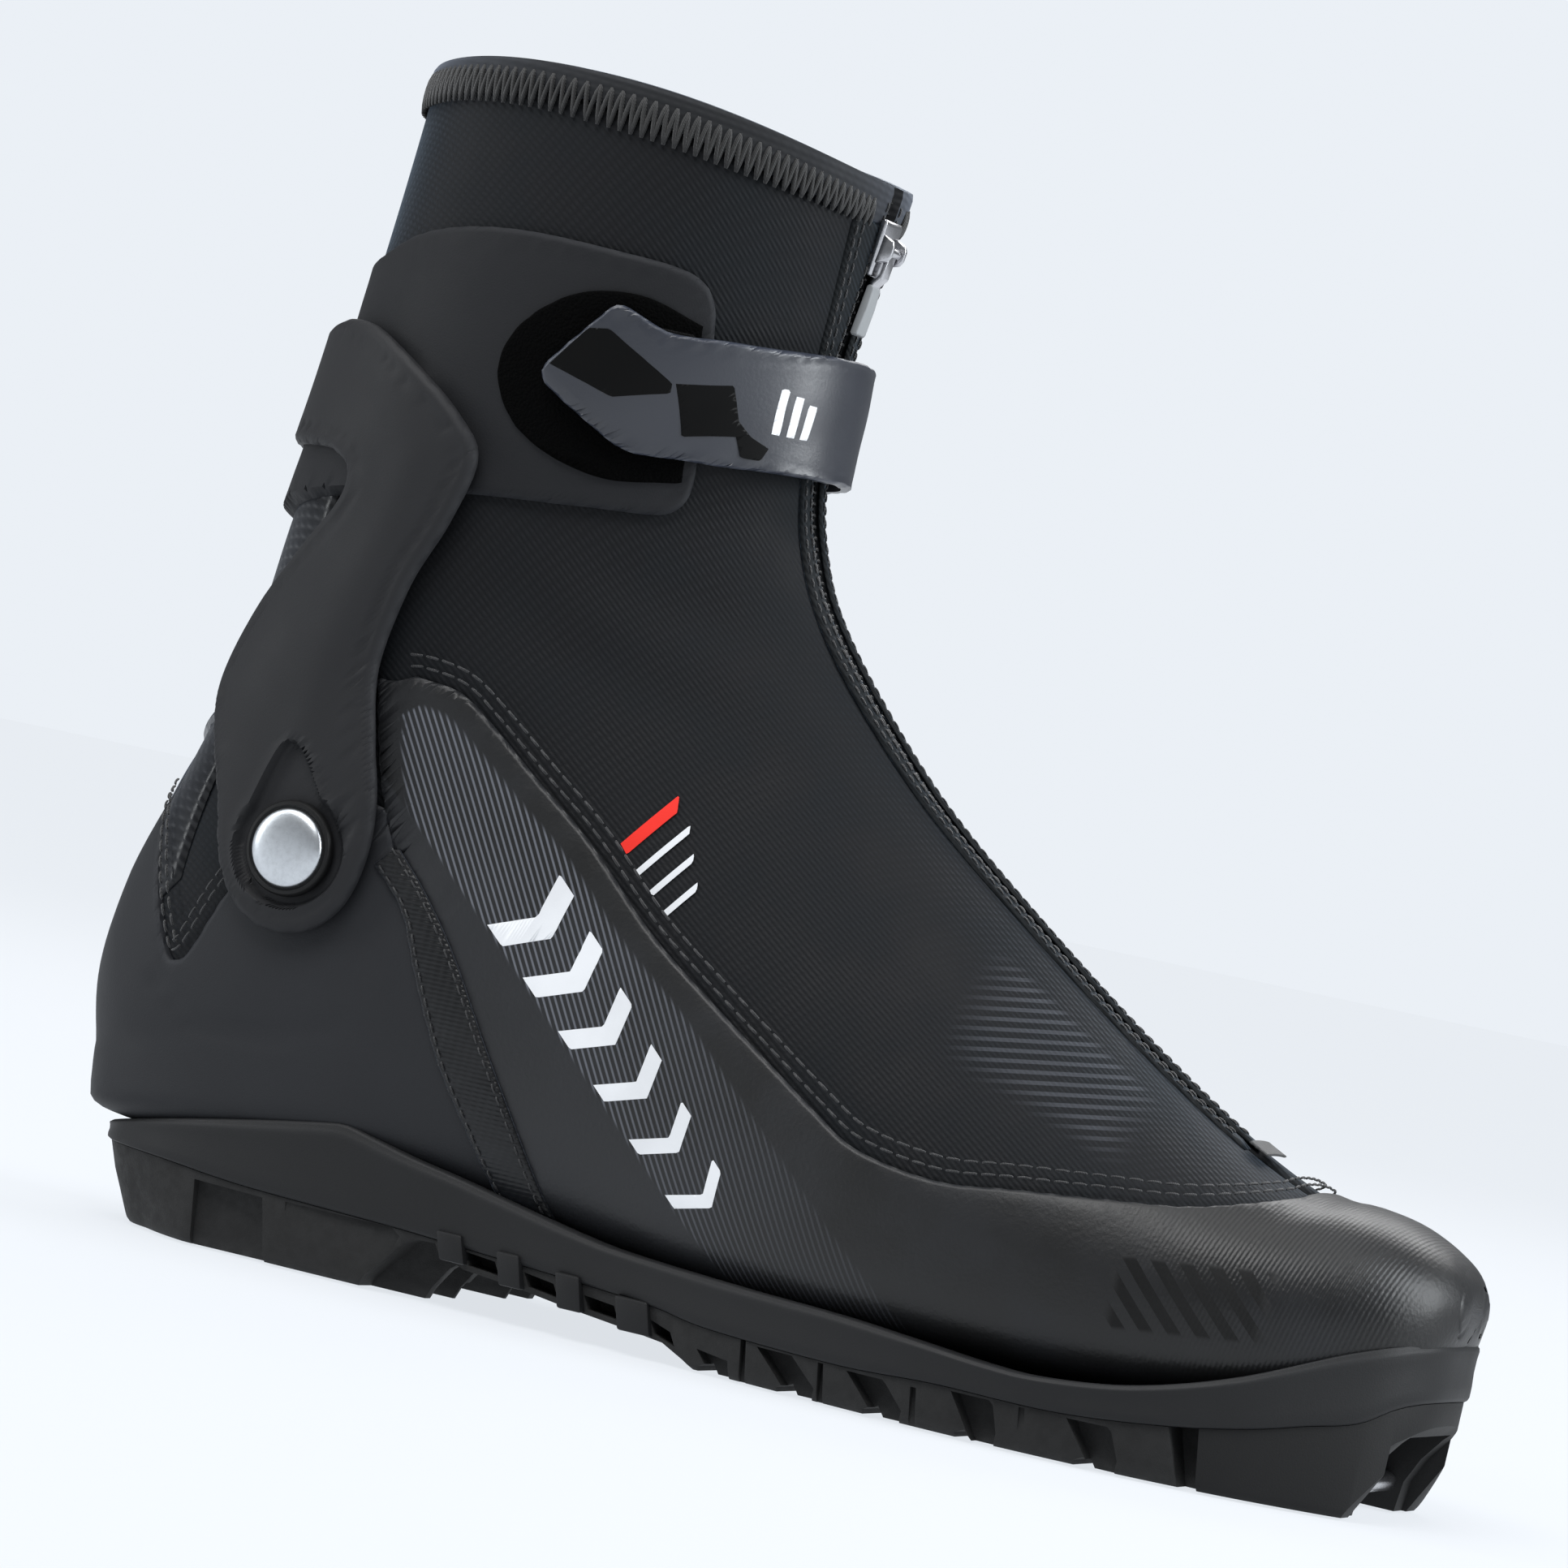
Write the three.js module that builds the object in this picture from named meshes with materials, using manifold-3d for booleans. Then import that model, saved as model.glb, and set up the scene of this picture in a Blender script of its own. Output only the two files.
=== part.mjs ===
// Cross-country ski boot, right foot: a zipped softshell upper on a binding sole, with a
// hinged ankle cuff closed by a strap. Millimetres, +X to the toe, -Y to the outer side, +Z up.
import * as THREE from "three";
import { mergeVertices } from "three/addons/utils/BufferGeometryUtils.js";
import Module from "manifold-3d";

// ---- Driving dimensions -------------------------------------------------------------------
const BOOT_LENGTH = 303; // heel to toe of the sole
const BOOT_HEIGHT = 245; // floor to the top of the collar
const BALL_WIDTH = 96; // sole across the ball of the foot

// Walls, each measured outward from the surface under it.
const GAP = 0.3; // between pieces that touch
const UPPER_WALL = 2.6; // softshell with its lining
const PANEL = 1.4; // heel counter, overlay and cuff wrap
const SEAM_TAPE = 0.8;
const LOOP_PAD = 0.9;
const HOOK_PAD = 0.7;
const STRAP = 1.8;
const YOKE_WALL = 2.6;
const ARM_CLEARANCE = 2.2; // between the swinging arms and the counter
const BOARD = 2;
const FOOTBED = 4;

// Pivot, binding, zip and lace hardware.
const SHAFT_RADIUS = 3.5;
const SHAFT_CLEARANCE = 0.4;
const WASHER_RADIUS = 8;
const CAP_RADIUS = 10;
const CAP_HEIGHT = 2.4;
const ARM_END_RADIUS = 16.5;
const BAR_RADIUS = 2;
const BAR_CLEARANCE = 0.3;
const BAR_HEIGHT = 5.5;
const JAW_WIDTH = 28; // slot for the binding jaw
const CHEEK_GRIP = 4; // bar length inside each cheek
const ZIP_SLOT = 5.2;
const ZIP_TAPE = 10;
const ZIP_TAPE_WALL = 0.8;
const ZIP_TAPE_GAP = 0.8; // clears the facets of the wall over it
const SLIDER_WIDTH = 9;
const SLIDER_LENGTH = 12;
const SLIDER_WALL = 1.6;
const PULL_WALL = 1.3;
const PULL_WIDTH = 5;
const PULL_DEPTH = 1.2; // out from the chain, behind the strap
const BARREL_RADIUS = 1;
const PIN_RADIUS = 0.6;
const PIN_CLEARANCE = 0.2;
const EAR_WALL = 1.1;
const LACE_RADIUS = 1.2;
const LACE_CROSSINGS = 8;
const STRAP_WIDTH = 26;
const GROOVE_WIDTH = 6;
const GROOVE_DEPTH = 4;
const NOTCH_DEPTH = 6;

// The outlines below are drawn for one size, and graded to the driving dimensions.
const DRAWN = { length: 303, height: 245, width: 96 };
const kx = BOOT_LENGTH / DRAWN.length;
const ky = BALL_WIDTH / DRAWN.width;
const kz = BOOT_HEIGHT / DRAWN.height;
const grade = ([x, z]) => [x * kx, z * kz];

// Depths of the layers, from the outer face of the upper's wall.
const PANEL_IN = GAP;
const PANEL_OUT = PANEL_IN + PANEL;
const OVER_PANEL = PANEL_OUT + GAP;
const PAD_OUT = OVER_PANEL + LOOP_PAD;
const HOOK_IN = PAD_OUT + GAP;
const STRAP_IN = HOOK_IN + HOOK_PAD + GAP;
const STRAP_OUT = STRAP_IN + STRAP;
const YOKE_IN = PANEL_OUT + ARM_CLEARANCE;
const YOKE_OUT = YOKE_IN + YOKE_WALL;
const TAPE_OUT = -UPPER_WALL - ZIP_TAPE_GAP;
const TAPE_IN = TAPE_OUT - ZIP_TAPE_WALL;
const LACE_DEPTH = TAPE_IN - GAP - LACE_RADIUS - 0.5;
const EYESTAY_OUT = LACE_DEPTH - LACE_RADIUS - 0.8;
const EYESTAY_IN = EYESTAY_OUT - 1.2;
const TONGUE_OUT = EYESTAY_IN - 0.5;
const TONGUE_IN = TONGUE_OUT - 2.4;

// ---- The last: sections fanned from the toe round the instep to the collar ----------------
// front: the point on the ridge; back: the point under the foot or behind the leg; half: half
// widths, outer then inner; widest: where, from front to back; power: how square the front and
// the back are; bow: how far the sides rise over the section's plane.
const station = (front, back, half, widest, power, bow = 0) => [
  ...front,
  ...back,
  ...half,
  widest,
  ...power,
  bow,
];
const STATIONS = [
  station([147, 46], [148, 37], [9, 9], 0.5, [2.2, 2.6]),
  station([143, 48.5], [144, 28], [18, 19], 0.55, [2.3, 3]),
  station([134, 51.5], [135, 21.5], [27, 29], 0.58, [2.3, 3.4]),
  station([119, 55], [119, 17], [35.5, 37], 0.6, [2.3, 3.6]),
  station([99, 63.5], [97, 14.5], [42.5, 42], 0.63, [2.1, 3.8]),
  station([74.5, 78], [70, 13.5], [46.5, 44], 0.66, [1.9, 4]),
  station([46.5, 97.5], [39, 13.5], [46, 42], 0.68, [1.75, 4]),
  station([22.5, 116], [8, 14.5], [42, 39.5], 0.64, [1.7, 4]),
  station([4, 134.5], [-28, 17.5], [38.5, 37], 0.58, [1.7, 3.8]),
  station([-8.5, 150], [-68, 19.5], [36.5, 36], 0.54, [1.8, 3.8]),
  station([-14.5, 163], [-108, 21], [36, 35.5], 0.52, [1.9, 3.6]),
  station([-17, 173.5], [-132, 27.5], [36, 35.5], 0.5, [2, 3.1]),
  station([-17.5, 183], [-143, 42], [36, 35.5], 0.48, [2, 2.7]),
  station([-17.5, 192], [-144, 64], [36, 35.5], 0.47, [2.1, 2.4]),
  station([-17.5, 200], [-137, 88], [37, 36.5], 0.47, [2.1, 2.3]),
  station([-16.5, 207.5], [-129, 114], [38, 37.5], 0.48, [2.1, 2.2]),
  station([-15.5, 215], [-124.5, 144], [39, 38.5], 0.49, [2.1, 2.2]),
  station([-14.5, 222], [-119.5, 174], [40, 39.5], 0.5, [2.1, 2.2]),
  station([-13.5, 228.5], [-115.5, 208], [41, 40.5], 0.5, [2.1, 2.2], 2),
  station([-12.5, 235], [-112.5, 241], [42, 41.5], 0.5, [2.1, 2.2], 6),
];
const RIM = STATIONS.length - 1;

// The station at a fraction of the way, by a Catmull-Rom curve through each number.
function stationAt(s) {
  const i = Math.min(Math.max(Math.floor(s), 0), RIM - 1);
  const t = s - i;
  const pick = (k) => STATIONS[Math.min(Math.max(k, 0), RIM)];
  const [a, b, c, d] = [pick(i - 1), pick(i), pick(i + 1), pick(i + 2)];
  return b.map(
    (value, k) =>
      value +
      0.5 * t * (c[k] - a[k] + t * (2 * a[k] - 5 * value + 4 * c[k] - d[k] +
        t * (3 * (value - c[k]) + d[k] - a[k]))),
  );
}

// A point on the last: phi is 0 on the front ridge, negative on the outer side, PI at the back.
function surfacePoint(s, phi) {
  const [fx, fz, bx, bz, outer, inner, widest, frontPower, backPower, bow] = stationAt(s);
  const c = Math.cos(phi);
  const sine = Math.abs(Math.sin(phi));
  const power = c >= 0 ? frontPower : backPower;
  const reach = Math.abs(c) ** (2 / power);
  const h = c >= 0 ? widest * (1 - reach) : widest + (1 - widest) * reach;
  const y = (phi < 0 ? -outer : inner) * sine ** (2 / power);
  const z = fz + (bz - fz) * h + bow * sine * sine;
  return new THREE.Vector3((fx + (bx - fx) * h) * kx, y * ky, z * kz);
}

function surfaceNormal(s, phi) {
  const d = 0.002;
  const along = surfacePoint(Math.min(s + d, RIM), phi);
  along.sub(surfacePoint(Math.max(s - d, 0), phi));
  const round = surfacePoint(s, phi + d).sub(surfacePoint(s, phi - d));
  return round.cross(along).normalize();
}

const offsetPoint = (s, phi, offset) =>
  surfacePoint(s, phi).addScaledVector(surfaceNormal(s, phi), offset);

// The front angle at a distance y from the ridge, y negative on the outer side.
function phiAtY(s, y) {
  const row = stationAt(s);
  const half = (y < 0 ? row[4] : row[5]) * ky;
  return Math.sign(y) * Math.asin(Math.min(Math.abs(y) / half, 1) ** (row[7] / 2));
}

// The point of one side of the last that is at x, z in side view, and its outward normal.
function sidePoint([x, z], side) {
  let best = { miss: Infinity, s: 0, phi: 0 };
  let [s0, p0, reachS, reachP] = [RIM / 2, Math.PI / 2, RIM / 2, Math.PI / 2];
  for (let round = 0; round < 12; round++) {
    for (let i = -6; i <= 6; i++) {
      for (let j = -6; j <= 6; j++) {
        const s = Math.min(Math.max(s0 + (reachS * i) / 6, 0), RIM);
        const phi = side * Math.min(Math.max(p0 + (reachP * j) / 6, 0.01), Math.PI - 0.01);
        const p = surfacePoint(s, phi);
        const miss = Math.hypot(p.x - x, p.z - z);
        if (miss < best.miss) best = { miss, s, phi };
      }
    }
    [s0, p0, reachS, reachP] = [best.s, Math.abs(best.phi), reachS / 2, reachP / 2];
  }
  return { point: surfacePoint(best.s, best.phi), normal: surfaceNormal(best.s, best.phi) };
}

// ---- Solids -------------------------------------------------------------------------------
const wasm = await Module();
wasm.setup();

function solidFrom(geometry) {
  const bare = geometry.clone();
  for (const name of Object.keys(bare.attributes)) {
    if (name !== "position") bare.deleteAttribute(name);
  }
  const merged = mergeVertices(bare, 1e-4);
  const vertProperties = Float32Array.from(merged.attributes.position.array);
  const triVerts = Uint32Array.from(merged.index.array);
  return new wasm.Manifold(new wasm.Mesh({ numProp: 3, vertProperties, triVerts }));
}

// A closed solid from rings of points, the first and last ring filled by a fan about a centre.
function solidFromRings(rings, firstCentre, lastCentre) {
  const n = rings[0].length;
  const points = [...rings.flat(), firstCentre, lastCentre];
  const index = [];
  for (let i = 0; i + 1 < rings.length; i++) {
    for (let j = 0; j < n; j++) {
      const [a, b] = [i * n + j, i * n + ((j + 1) % n)];
      index.push(a, b, b + n, a, b + n, a + n);
    }
  }
  const top = (rings.length - 1) * n;
  for (let j = 0; j < n; j++) {
    index.push(rings.length * n, (j + 1) % n, j);
    index.push(rings.length * n + 1, top + j, top + ((j + 1) % n));
  }
  const geometry = new THREE.BufferGeometry().setFromPoints(points);
  return solidFrom(geometry.setIndex(index));
}

// Rows of the last are closer where it turns sharply, at the toe and round the heel.
const ROWS = [0, 0.5, 1, 1.5, 2, 3, 4, 5, 6, 7, 8, 9, 10, 10.5, 11, 11.5, 12, 13, 14, 16, 18, RIM];
const COLUMNS = 24;

function ringAt(s, offset) {
  const ring = [];
  for (let j = 0; j < COLUMNS; j++) {
    const phi = -Math.PI + (2 * Math.PI * (j + 0.5)) / COLUMNS;
    ring.push(offsetPoint(s, phi, offset));
  }
  return ring;
}

const middleOf = (ring) =>
  ring.reduce((sum, p) => sum.add(p), new THREE.Vector3()).divideScalar(ring.length);

// The volume inside the last grown by an offset. A shrunk one starts where its toe has room.
function lastVolume(offset, extraHeight = 0) {
  const first = offset < 0 ? 1 : 0;
  const rings = ROWS.filter((s) => s >= first).map((s) => ringAt(s, offset));
  if (extraHeight > 0) {
    rings.push(rings.at(-1).map((p) => p.clone().add(new THREE.Vector3(0, 0, extraHeight))));
  }
  const toe = middleOf(rings[0]).add(new THREE.Vector3(offset, 0, 0));
  return solidFromRings(rings, toe, middleOf(rings.at(-1)));
}

const layer = (inner, outer) => lastVolume(outer).subtract(lastVolume(inner, 20));

// A strip of the last between two angles that depend on the row, from one offset to another.
function strip(rows, fromPhi, toPhi, columns, inner, outer) {
  const rings = rows.map((s) => {
    const [a, b] = [fromPhi(s), toPhi(s)];
    const across = (k, offset) => offsetPoint(s, a + ((b - a) * k) / columns, offset);
    const ring = [];
    for (let k = 0; k <= columns; k++) ring.push(across(k, outer));
    for (let k = columns; k >= 0; k--) ring.push(across(k, inner));
    return ring;
  });
  return solidFromRings(rings, middleOf(rings[0]), middleOf(rings.at(-1)));
}

const WIDE = 200; // reaches past every piece

// A side-view outline, in drawn sizes, pushed through from one y to another.
function sideCut(outline, fromY = -WIDE, toY = WIDE) {
  const shape = new THREE.Shape(outline.map((p) => new THREE.Vector2(...grade(p))));
  const options = { depth: toY - fromY, bevelEnabled: false };
  const geometry = new THREE.ExtrudeGeometry(shape, options);
  return solidFrom(geometry.rotateX(Math.PI / 2).translate(0, toY, 0));
}

// A smooth line through drawn points, as a list of points.
function smooth(points, perSpan = 2) {
  const curve = new THREE.SplineCurve(points.map((p) => new THREE.Vector2(...p)));
  return curve.getPoints((points.length - 1) * perSpan).map((p) => [p.x, p.y]);
}

function box(x0, x1, y0, y1, z0, z1) {
  const geometry = new THREE.BoxGeometry(x1 - x0, y1 - y0, z1 - z0);
  return solidFrom(geometry.translate((x0 + x1) / 2, (y0 + y1) / 2, (z0 + z1) / 2));
}

// A rod along Y.
function rod(x, z, radius, fromY, toY, sides = 20) {
  const geometry = new THREE.CylinderGeometry(radius, radius, toY - fromY, sides);
  return solidFrom(geometry.translate(x, (fromY + toY) / 2, z));
}

// ---- Materials ----------------------------------------------------------------------------
const material = (color, roughness, metalness = 0) =>
  new THREE.MeshStandardMaterial({ color, roughness, metalness });
const SOFTSHELL = material(0x23262d, 0.82);
const LINING = material(0x3a3d44, 0.95);
const SYNTHETIC = material(0x26282d, 0.55);
const MOULDED = material(0x2f3035, 0.62);
const RUBBER = material(0x2b2b2e, 0.85);
const WEBBING = material(0x1c1f27, 0.4);
const PAD = material(0x101114, 0.95);
const SATIN_METAL = material(0x8f9499, 0.35, 0.8);
const STEEL = material(0xb9bcc0, 0.25, 1);
const PULL_TAB = material(0x6d7075, 0.5);
const CORD = material(0x55585e, 0.8);
const BOARD_FIBRE = material(0x6b6558, 0.9);

const boot = new THREE.Group();
const lower = new THREE.Group();
const cuff = new THREE.Group();
const strap = new THREE.Group();
const zip = new THREE.Group();
boot.add(lower, cuff);
cuff.add(strap, zip);

function add(group, name, solid, look) {
  const made = solid.getMesh();
  const positions = new THREE.BufferAttribute(Float32Array.from(made.vertProperties), 3);
  const geometry = new THREE.BufferGeometry().setAttribute("position", positions);
  geometry.setIndex(Array.from(made.triVerts));
  geometry.computeVertexNormals();
  const mesh = new THREE.Mesh(geometry, look);
  mesh.name = name;
  group.add(mesh);
}

const SIDES = [
  { name: "lateral", sign: -1 },
  { name: "medial", sign: 1 },
];
const halfSpace = (sign) => (sign < 0 ? [-WIDE, 0] : [0, WIDE]);

// ---- Side-view lines shared by neighbouring pieces ----------------------------------------
const PIVOT = [-95, 82];
const [PIVOT_X, PIVOT_Z] = grade(PIVOT);
const FEATHER = smooth([
  [-160, 25], [-128, 22], [-100, 26], [-78, 30], [-58, 26], [-30, 22], [10, 18.5], [50, 16.5],
  [83, 14.8], [100, 17], [118, 22.5], [137, 31.5], [150, 36], [165, 39],
]);
const PARTING = smooth([
  [-160, 16], [-120, 15.5], [-95, 14], [-60, 13], [-40, 12], [-18, 11], [0, 10], [13, 8.5],
  [42, 8], [63, 9], [87, 9], [108, 11],
]);
const TOE_PARTING = smooth([
  [108, 11], [122, 13.5], [131, 16], [139, 18.2], [147, 23.5], [165, 28],
]);
const SEAM = smooth([
  [-88, 128], [-81, 100], [-74, 85], [-63, 69], [-53, 50], [-43, 32], [-33, 18], [-20, -8],
]);
const SHELL_TOP = smooth([
  [200, 230], [60, 155], [22, 129], [-15, 118], [-60, 122], [-96, 124], [-118, 112], [-136, 92],
  [-170, 86],
]);
const COLLAR_FOOT = smooth([[30, 172], [-9, 163], [-60, 150], [-100, 143], [-160, 138]]);
const HEM_LINE = smooth([
  [200, 200], [20, 221], [-14, 227], [-34, 232.5], [-50, 236], [-72, 239], [-88, 239.5], [-101, 238.5],
  [-140, 233],
]);
const FAR = 400;
const raised = (line, dz) => line.map(([x, z]) => [x, z + dz / kz]);
const below = (line) => [[line.at(-1)[0], -FAR], [line[0][0], -FAR], ...line];
const above = (line) => [[line.at(-1)[0], FAR], [line[0][0], FAR], ...line];

// ---- Upper --------------------------------------------------------------------------------
const wall = layer(-UPPER_WALL, 0);
const panels = layer(PANEL_IN, PANEL_OUT);
const ZIP_END = 4; // the row where the zip stops above the toe
const zipRows = ROWS.filter((s) => s >= ZIP_END);
const between = (from, to) => [(s) => phiAtY(s, from), (s) => phiAtY(s, to)];
const zipSlot = strip(zipRows, ...between(-ZIP_SLOT / 2, ZIP_SLOT / 2), 4, -UPPER_WALL - 2, 2);
const zippedWall = wall.subtract(zipSlot);

const pivotHole = rod(PIVOT_X, PIVOT_Z, SHAFT_RADIUS + SHAFT_CLEARANCE, -WIDE, WIDE);
const shell = zippedWall.intersect(sideCut(below(SHELL_TOP))).subtract(pivotHole);
add(lower, "vamp_shell", shell, SOFTSHELL);

const ankle = sideCut(above(raised(SHELL_TOP, GAP)))
  .intersect(sideCut(below(raised(COLLAR_FOOT, -GAP))))
  .intersect(zippedWall);
const BELLOWS_FRONT = smooth([[-99, 200], [-105, 140], [-112, 105], [-118, 60]]);
const behindLine = (line, dx) => [...line.map(([x, z]) => [x + dx, z]), [-FAR, line.at(-1)[1]],
  [-FAR, line[0][1]]];
const aheadOfLine = (line) => [...line, [FAR, line.at(-1)[1]], [FAR, line[0][1]]];
add(lower, "achilles_bellows", ankle.intersect(sideCut(behindLine(BELLOWS_FRONT, -GAP))), SOFTSHELL);
for (const { name, sign } of SIDES) {
  const side = sideCut(aheadOfLine(BELLOWS_FRONT), ...halfSpace(sign));
  add(lower, "softshell_" + name, ankle.intersect(side), SOFTSHELL);
}

// The counter cups the heel, and is notched at the back for the pull loop.
const COUNTER_TOP = [[-160, 92], [-134, 86], [-128, 68], [-121, 55], [-116, 58], [-109, 72],
  [-96, 88], [-84, 94], [-70, 92]];
const counterRegion = sideCut([...COUNTER_TOP, [FAR, 92], [FAR, -FAR], [-160, -FAR]])
  .intersect(sideCut([...SEAM, [-FAR, -8], [-FAR, 128]]));
add(lower, "heel_counter", panels.intersect(counterRegion).subtract(pivotHole), MOULDED);

const OVERLAY_TOP = smooth([
  [-92, 122], [-80, 120.5], [-68, 119], [-60, 114], [-48, 105], [-34, 95], [-17, 80.5], [-1, 70],
  [14, 61], [26, 54], [37, 48.5], [54, 46], [70, 47.5], [86, 49], [100, 50.5], [112, 54],
  [124, 60], [170, 75],
]);
const aheadOfSeam = sideCut([...SEAM.map(([x, z]) => [x + GAP, z]), [FAR, -8], [FAR, 128]]);
const overlayRegion = sideCut(below(OVERLAY_TOP)).intersect(aheadOfSeam);
add(lower, "vamp_overlay", panels.intersect(overlayRegion), SYNTHETIC);

const seamLine = SEAM.filter(([, z]) => z > 16 && z < 90);
const TAPE_HALF = 5.5;
const tapeOutline = [
  ...seamLine.map(([x, z]) => [x - TAPE_HALF, z]),
  ...seamLine.toReversed().map(([x, z]) => [x + TAPE_HALF, z]),
];
const tapes = layer(OVER_PANEL, OVER_PANEL + SEAM_TAPE);
for (const { name, sign } of SIDES) {
  const cut = sideCut(tapeOutline, ...halfSpace(sign));
  const frameTop = sideCut(above(raised(FEATHER, GAP)));
  add(lower, "seam_tape_" + name, tapes.intersect(cut).intersect(frameTop), SYNTHETIC);
}

// ---- Zip, lacing and tongue under the softshell -------------------------------------------
for (const { name, sign } of SIDES) {
  const edges = sign < 0 ? between(-ZIP_TAPE, -GAP) : between(GAP, ZIP_TAPE);
  add(lower, "zipper_tape_" + name, strip(zipRows, ...edges, 3, TAPE_IN, TAPE_OUT), WEBBING);
}
const chainHalf = ZIP_SLOT / 2 - GAP;
const chain = strip(zipRows, ...between(-chainHalf, chainHalf), 3, -UPPER_WALL, GAP);
const chainTop = sideCut(below(raised(HEM_LINE, -GAP)));
add(lower, "zipper_chain", chain.intersect(chainTop), WEBBING);
const zipStop = strip([3.75, 3.9], ...between(-4, 4), 4, PANEL_OUT + GAP, PANEL_OUT + GAP + 1);
add(lower, "zip_bottom_stop", zipStop, WEBBING);

const laceRows = ROWS.filter((s) => s >= 4 && s <= 8);
const TONGUE_HALF = 19;
const tongue = strip(
  ROWS.filter((s) => s >= 4 && s <= 9),
  ...between(-TONGUE_HALF, TONGUE_HALF), 8, TONGUE_IN, TONGUE_OUT,
);
add(lower, "tongue", tongue, LINING);
for (const { name, sign } of SIDES) {
  const edges = sign < 0 ? between(-19, -9) : between(9, 19);
  add(lower, "eyestay_" + name, strip(laceRows, ...edges, 3, EYESTAY_IN, EYESTAY_OUT), SYNTHETIC);
}

// The lace runs from side to side over the eyestays as one zigzag.
function lacePath() {
  const points = [];
  const reach = 13;
  const steps = LACE_CROSSINGS * 4;
  for (let i = 0; i <= steps; i++) {
    const s = 4.2 + (3.6 * i) / steps;
    const swing = Math.cos((Math.PI * i) / 4);
    points.push(offsetPoint(s, phiAtY(s, reach * swing || 1e-6), LACE_DEPTH));
  }
  return new THREE.CatmullRomCurve3(points);
}
function roundSection(radius, sides) {
  return new THREE.Shape().setFromPoints(
    Array.from({ length: sides }, (_, k) => {
      const turn = (2 * Math.PI * k) / sides;
      return new THREE.Vector2(radius * Math.cos(turn), radius * Math.sin(turn));
    }),
  );
}
const lace = new THREE.ExtrudeGeometry(roundSection(LACE_RADIUS, 8), {
  steps: LACE_CROSSINGS * 4,
  extrudePath: lacePath(),
  bevelEnabled: false,
});
add(lower, "lace", solidFrom(lace), CORD);

// ---- Insole -------------------------------------------------------------------------------
const FOOT_ROOM = -UPPER_WALL - GAP;
const underfoot = smooth([
  [-140, 30], [-128, 25], [-108, 21.5], [-68, 19.5], [-28, 17.5], [8, 14.5], [39, 13.5],
  [70, 13.5], [97, 14.5], [119, 17.5], [133, 21.5], [150, 32],
]);
const footRoom = lastVolume(FOOT_ROOM);
const slab = (from, to) =>
  sideCut([...raised(underfoot, from), ...raised(underfoot, to).toReversed()]);
const boardTop = UPPER_WALL + GAP + BOARD;
add(lower, "lasting_board", footRoom.intersect(slab(-5, boardTop)), BOARD_FIBRE);
const footbed = footRoom.intersect(slab(boardTop + GAP, boardTop + GAP + FOOTBED));
add(lower, "footbed", footbed, LINING);

// ---- Sole ---------------------------------------------------------------------------------
// Half widths of the sole along its length: x, outer, inner.
const SOLE_PLAN = [
  [-140.5, 7, 7], [-137, 16, 16], [-129, 24, 24], [-115, 30.5, 30.5], [-95, 34, 33.5],
  [-70, 35.5, 34.5], [-40, 36, 34], [-10, 38.5, 35.5], [20, 44, 39], [50, 48.5, 43.5],
  [75, 49.5, 46.5], [100, 46.5, 45], [120, 41, 41.5], [135, 33, 34.5], [147, 25, 26],
  [153, 17, 18], [155.5, 8, 9],
];
function soleOutline(inset) {
  const outer = SOLE_PLAN.map(([x, lateral]) => [x * kx, -(lateral * ky - inset)]);
  const inner = SOLE_PLAN.map(([x, , medial]) => [x * kx, medial * ky - inset]);
  const loop = [...outer, ...inner.toReversed()].map((p) => new THREE.Vector3(...p, 0));
  return new THREE.CatmullRomCurve3(loop, true).getPoints(64).slice(0, -1);
}
function solePrism(inset) {
  const shape = new THREE.Shape(soleOutline(inset).map((p) => new THREE.Vector2(p.x, p.y)));
  return solidFrom(new THREE.ExtrudeGeometry(shape, { depth: 80, bevelEnabled: false }));
}
const cup = lastVolume(PANEL_OUT + GAP);
const frameOutline = [
  ...FEATHER,
  ...TOE_PARTING.toReversed(),
  ...PARTING.toReversed().slice(1),
];
const soleBody = solePrism(0);
const frame = soleBody.intersect(sideCut(frameOutline)).subtract(cup);
add(lower, "midsole_frame", frame, MOULDED);

const treadBody = solePrism(1.2);
const underFrame = sideCut(below(raised(PARTING, -GAP)));
const SHANK = [[-46, 14], [-38, 8.5], [-31, 8.5], [-20, 7], [-5, 4], [4, 4], [15, 0]];
const TREAD_FRONT = [[112, 0], [107, 14]];
const HEEL_TREAD = [[-160, 40], [-141, 17], [-124, 0], [-72, 0], [-60, 14], [-60, 40]];
const LUG_NOTCHES = [[29, 33], [49, 54], [70, 75], [92, 98]];
const HEEL_NOTCHES = [[-110, -106], [-97, -93], [-84, -80]];

// Slanted gaps between the lugs of one edge, and two grooves along the tread.
function cutTread(tread, notches, height) {
  let cut = tread;
  for (const [from, to] of notches) {
    const slant = [[from, -1], [to, -1], [to + 4, height], [from + 4, height]];
    cut = cut.subtract(sideCut(slant, -WIDE, -16)).subtract(sideCut(slant, 16, WIDE));
  }
  for (const { sign } of SIDES) {
    const y = 9 * sign;
    cut = cut.subtract(box(-WIDE, WIDE, y - GROOVE_WIDTH / 2, y + GROOVE_WIDTH / 2, -1,
      GROOVE_DEPTH));
  }
  return cut;
}
const frontTread = treadBody
  .intersect(sideCut([...SHANK, ...TREAD_FRONT, [107, 40], [-46, 40]]))
  .intersect(underFrame);
add(lower, "forefoot_tread", cutTread(frontTread, LUG_NOTCHES, NOTCH_DEPTH), RUBBER);
const heelTread = treadBody.intersect(sideCut(HEEL_TREAD)).intersect(underFrame);
add(lower, "heel_tread", cutTread(heelTread, HEEL_NOTCHES, NOTCH_DEPTH), RUBBER);

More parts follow.
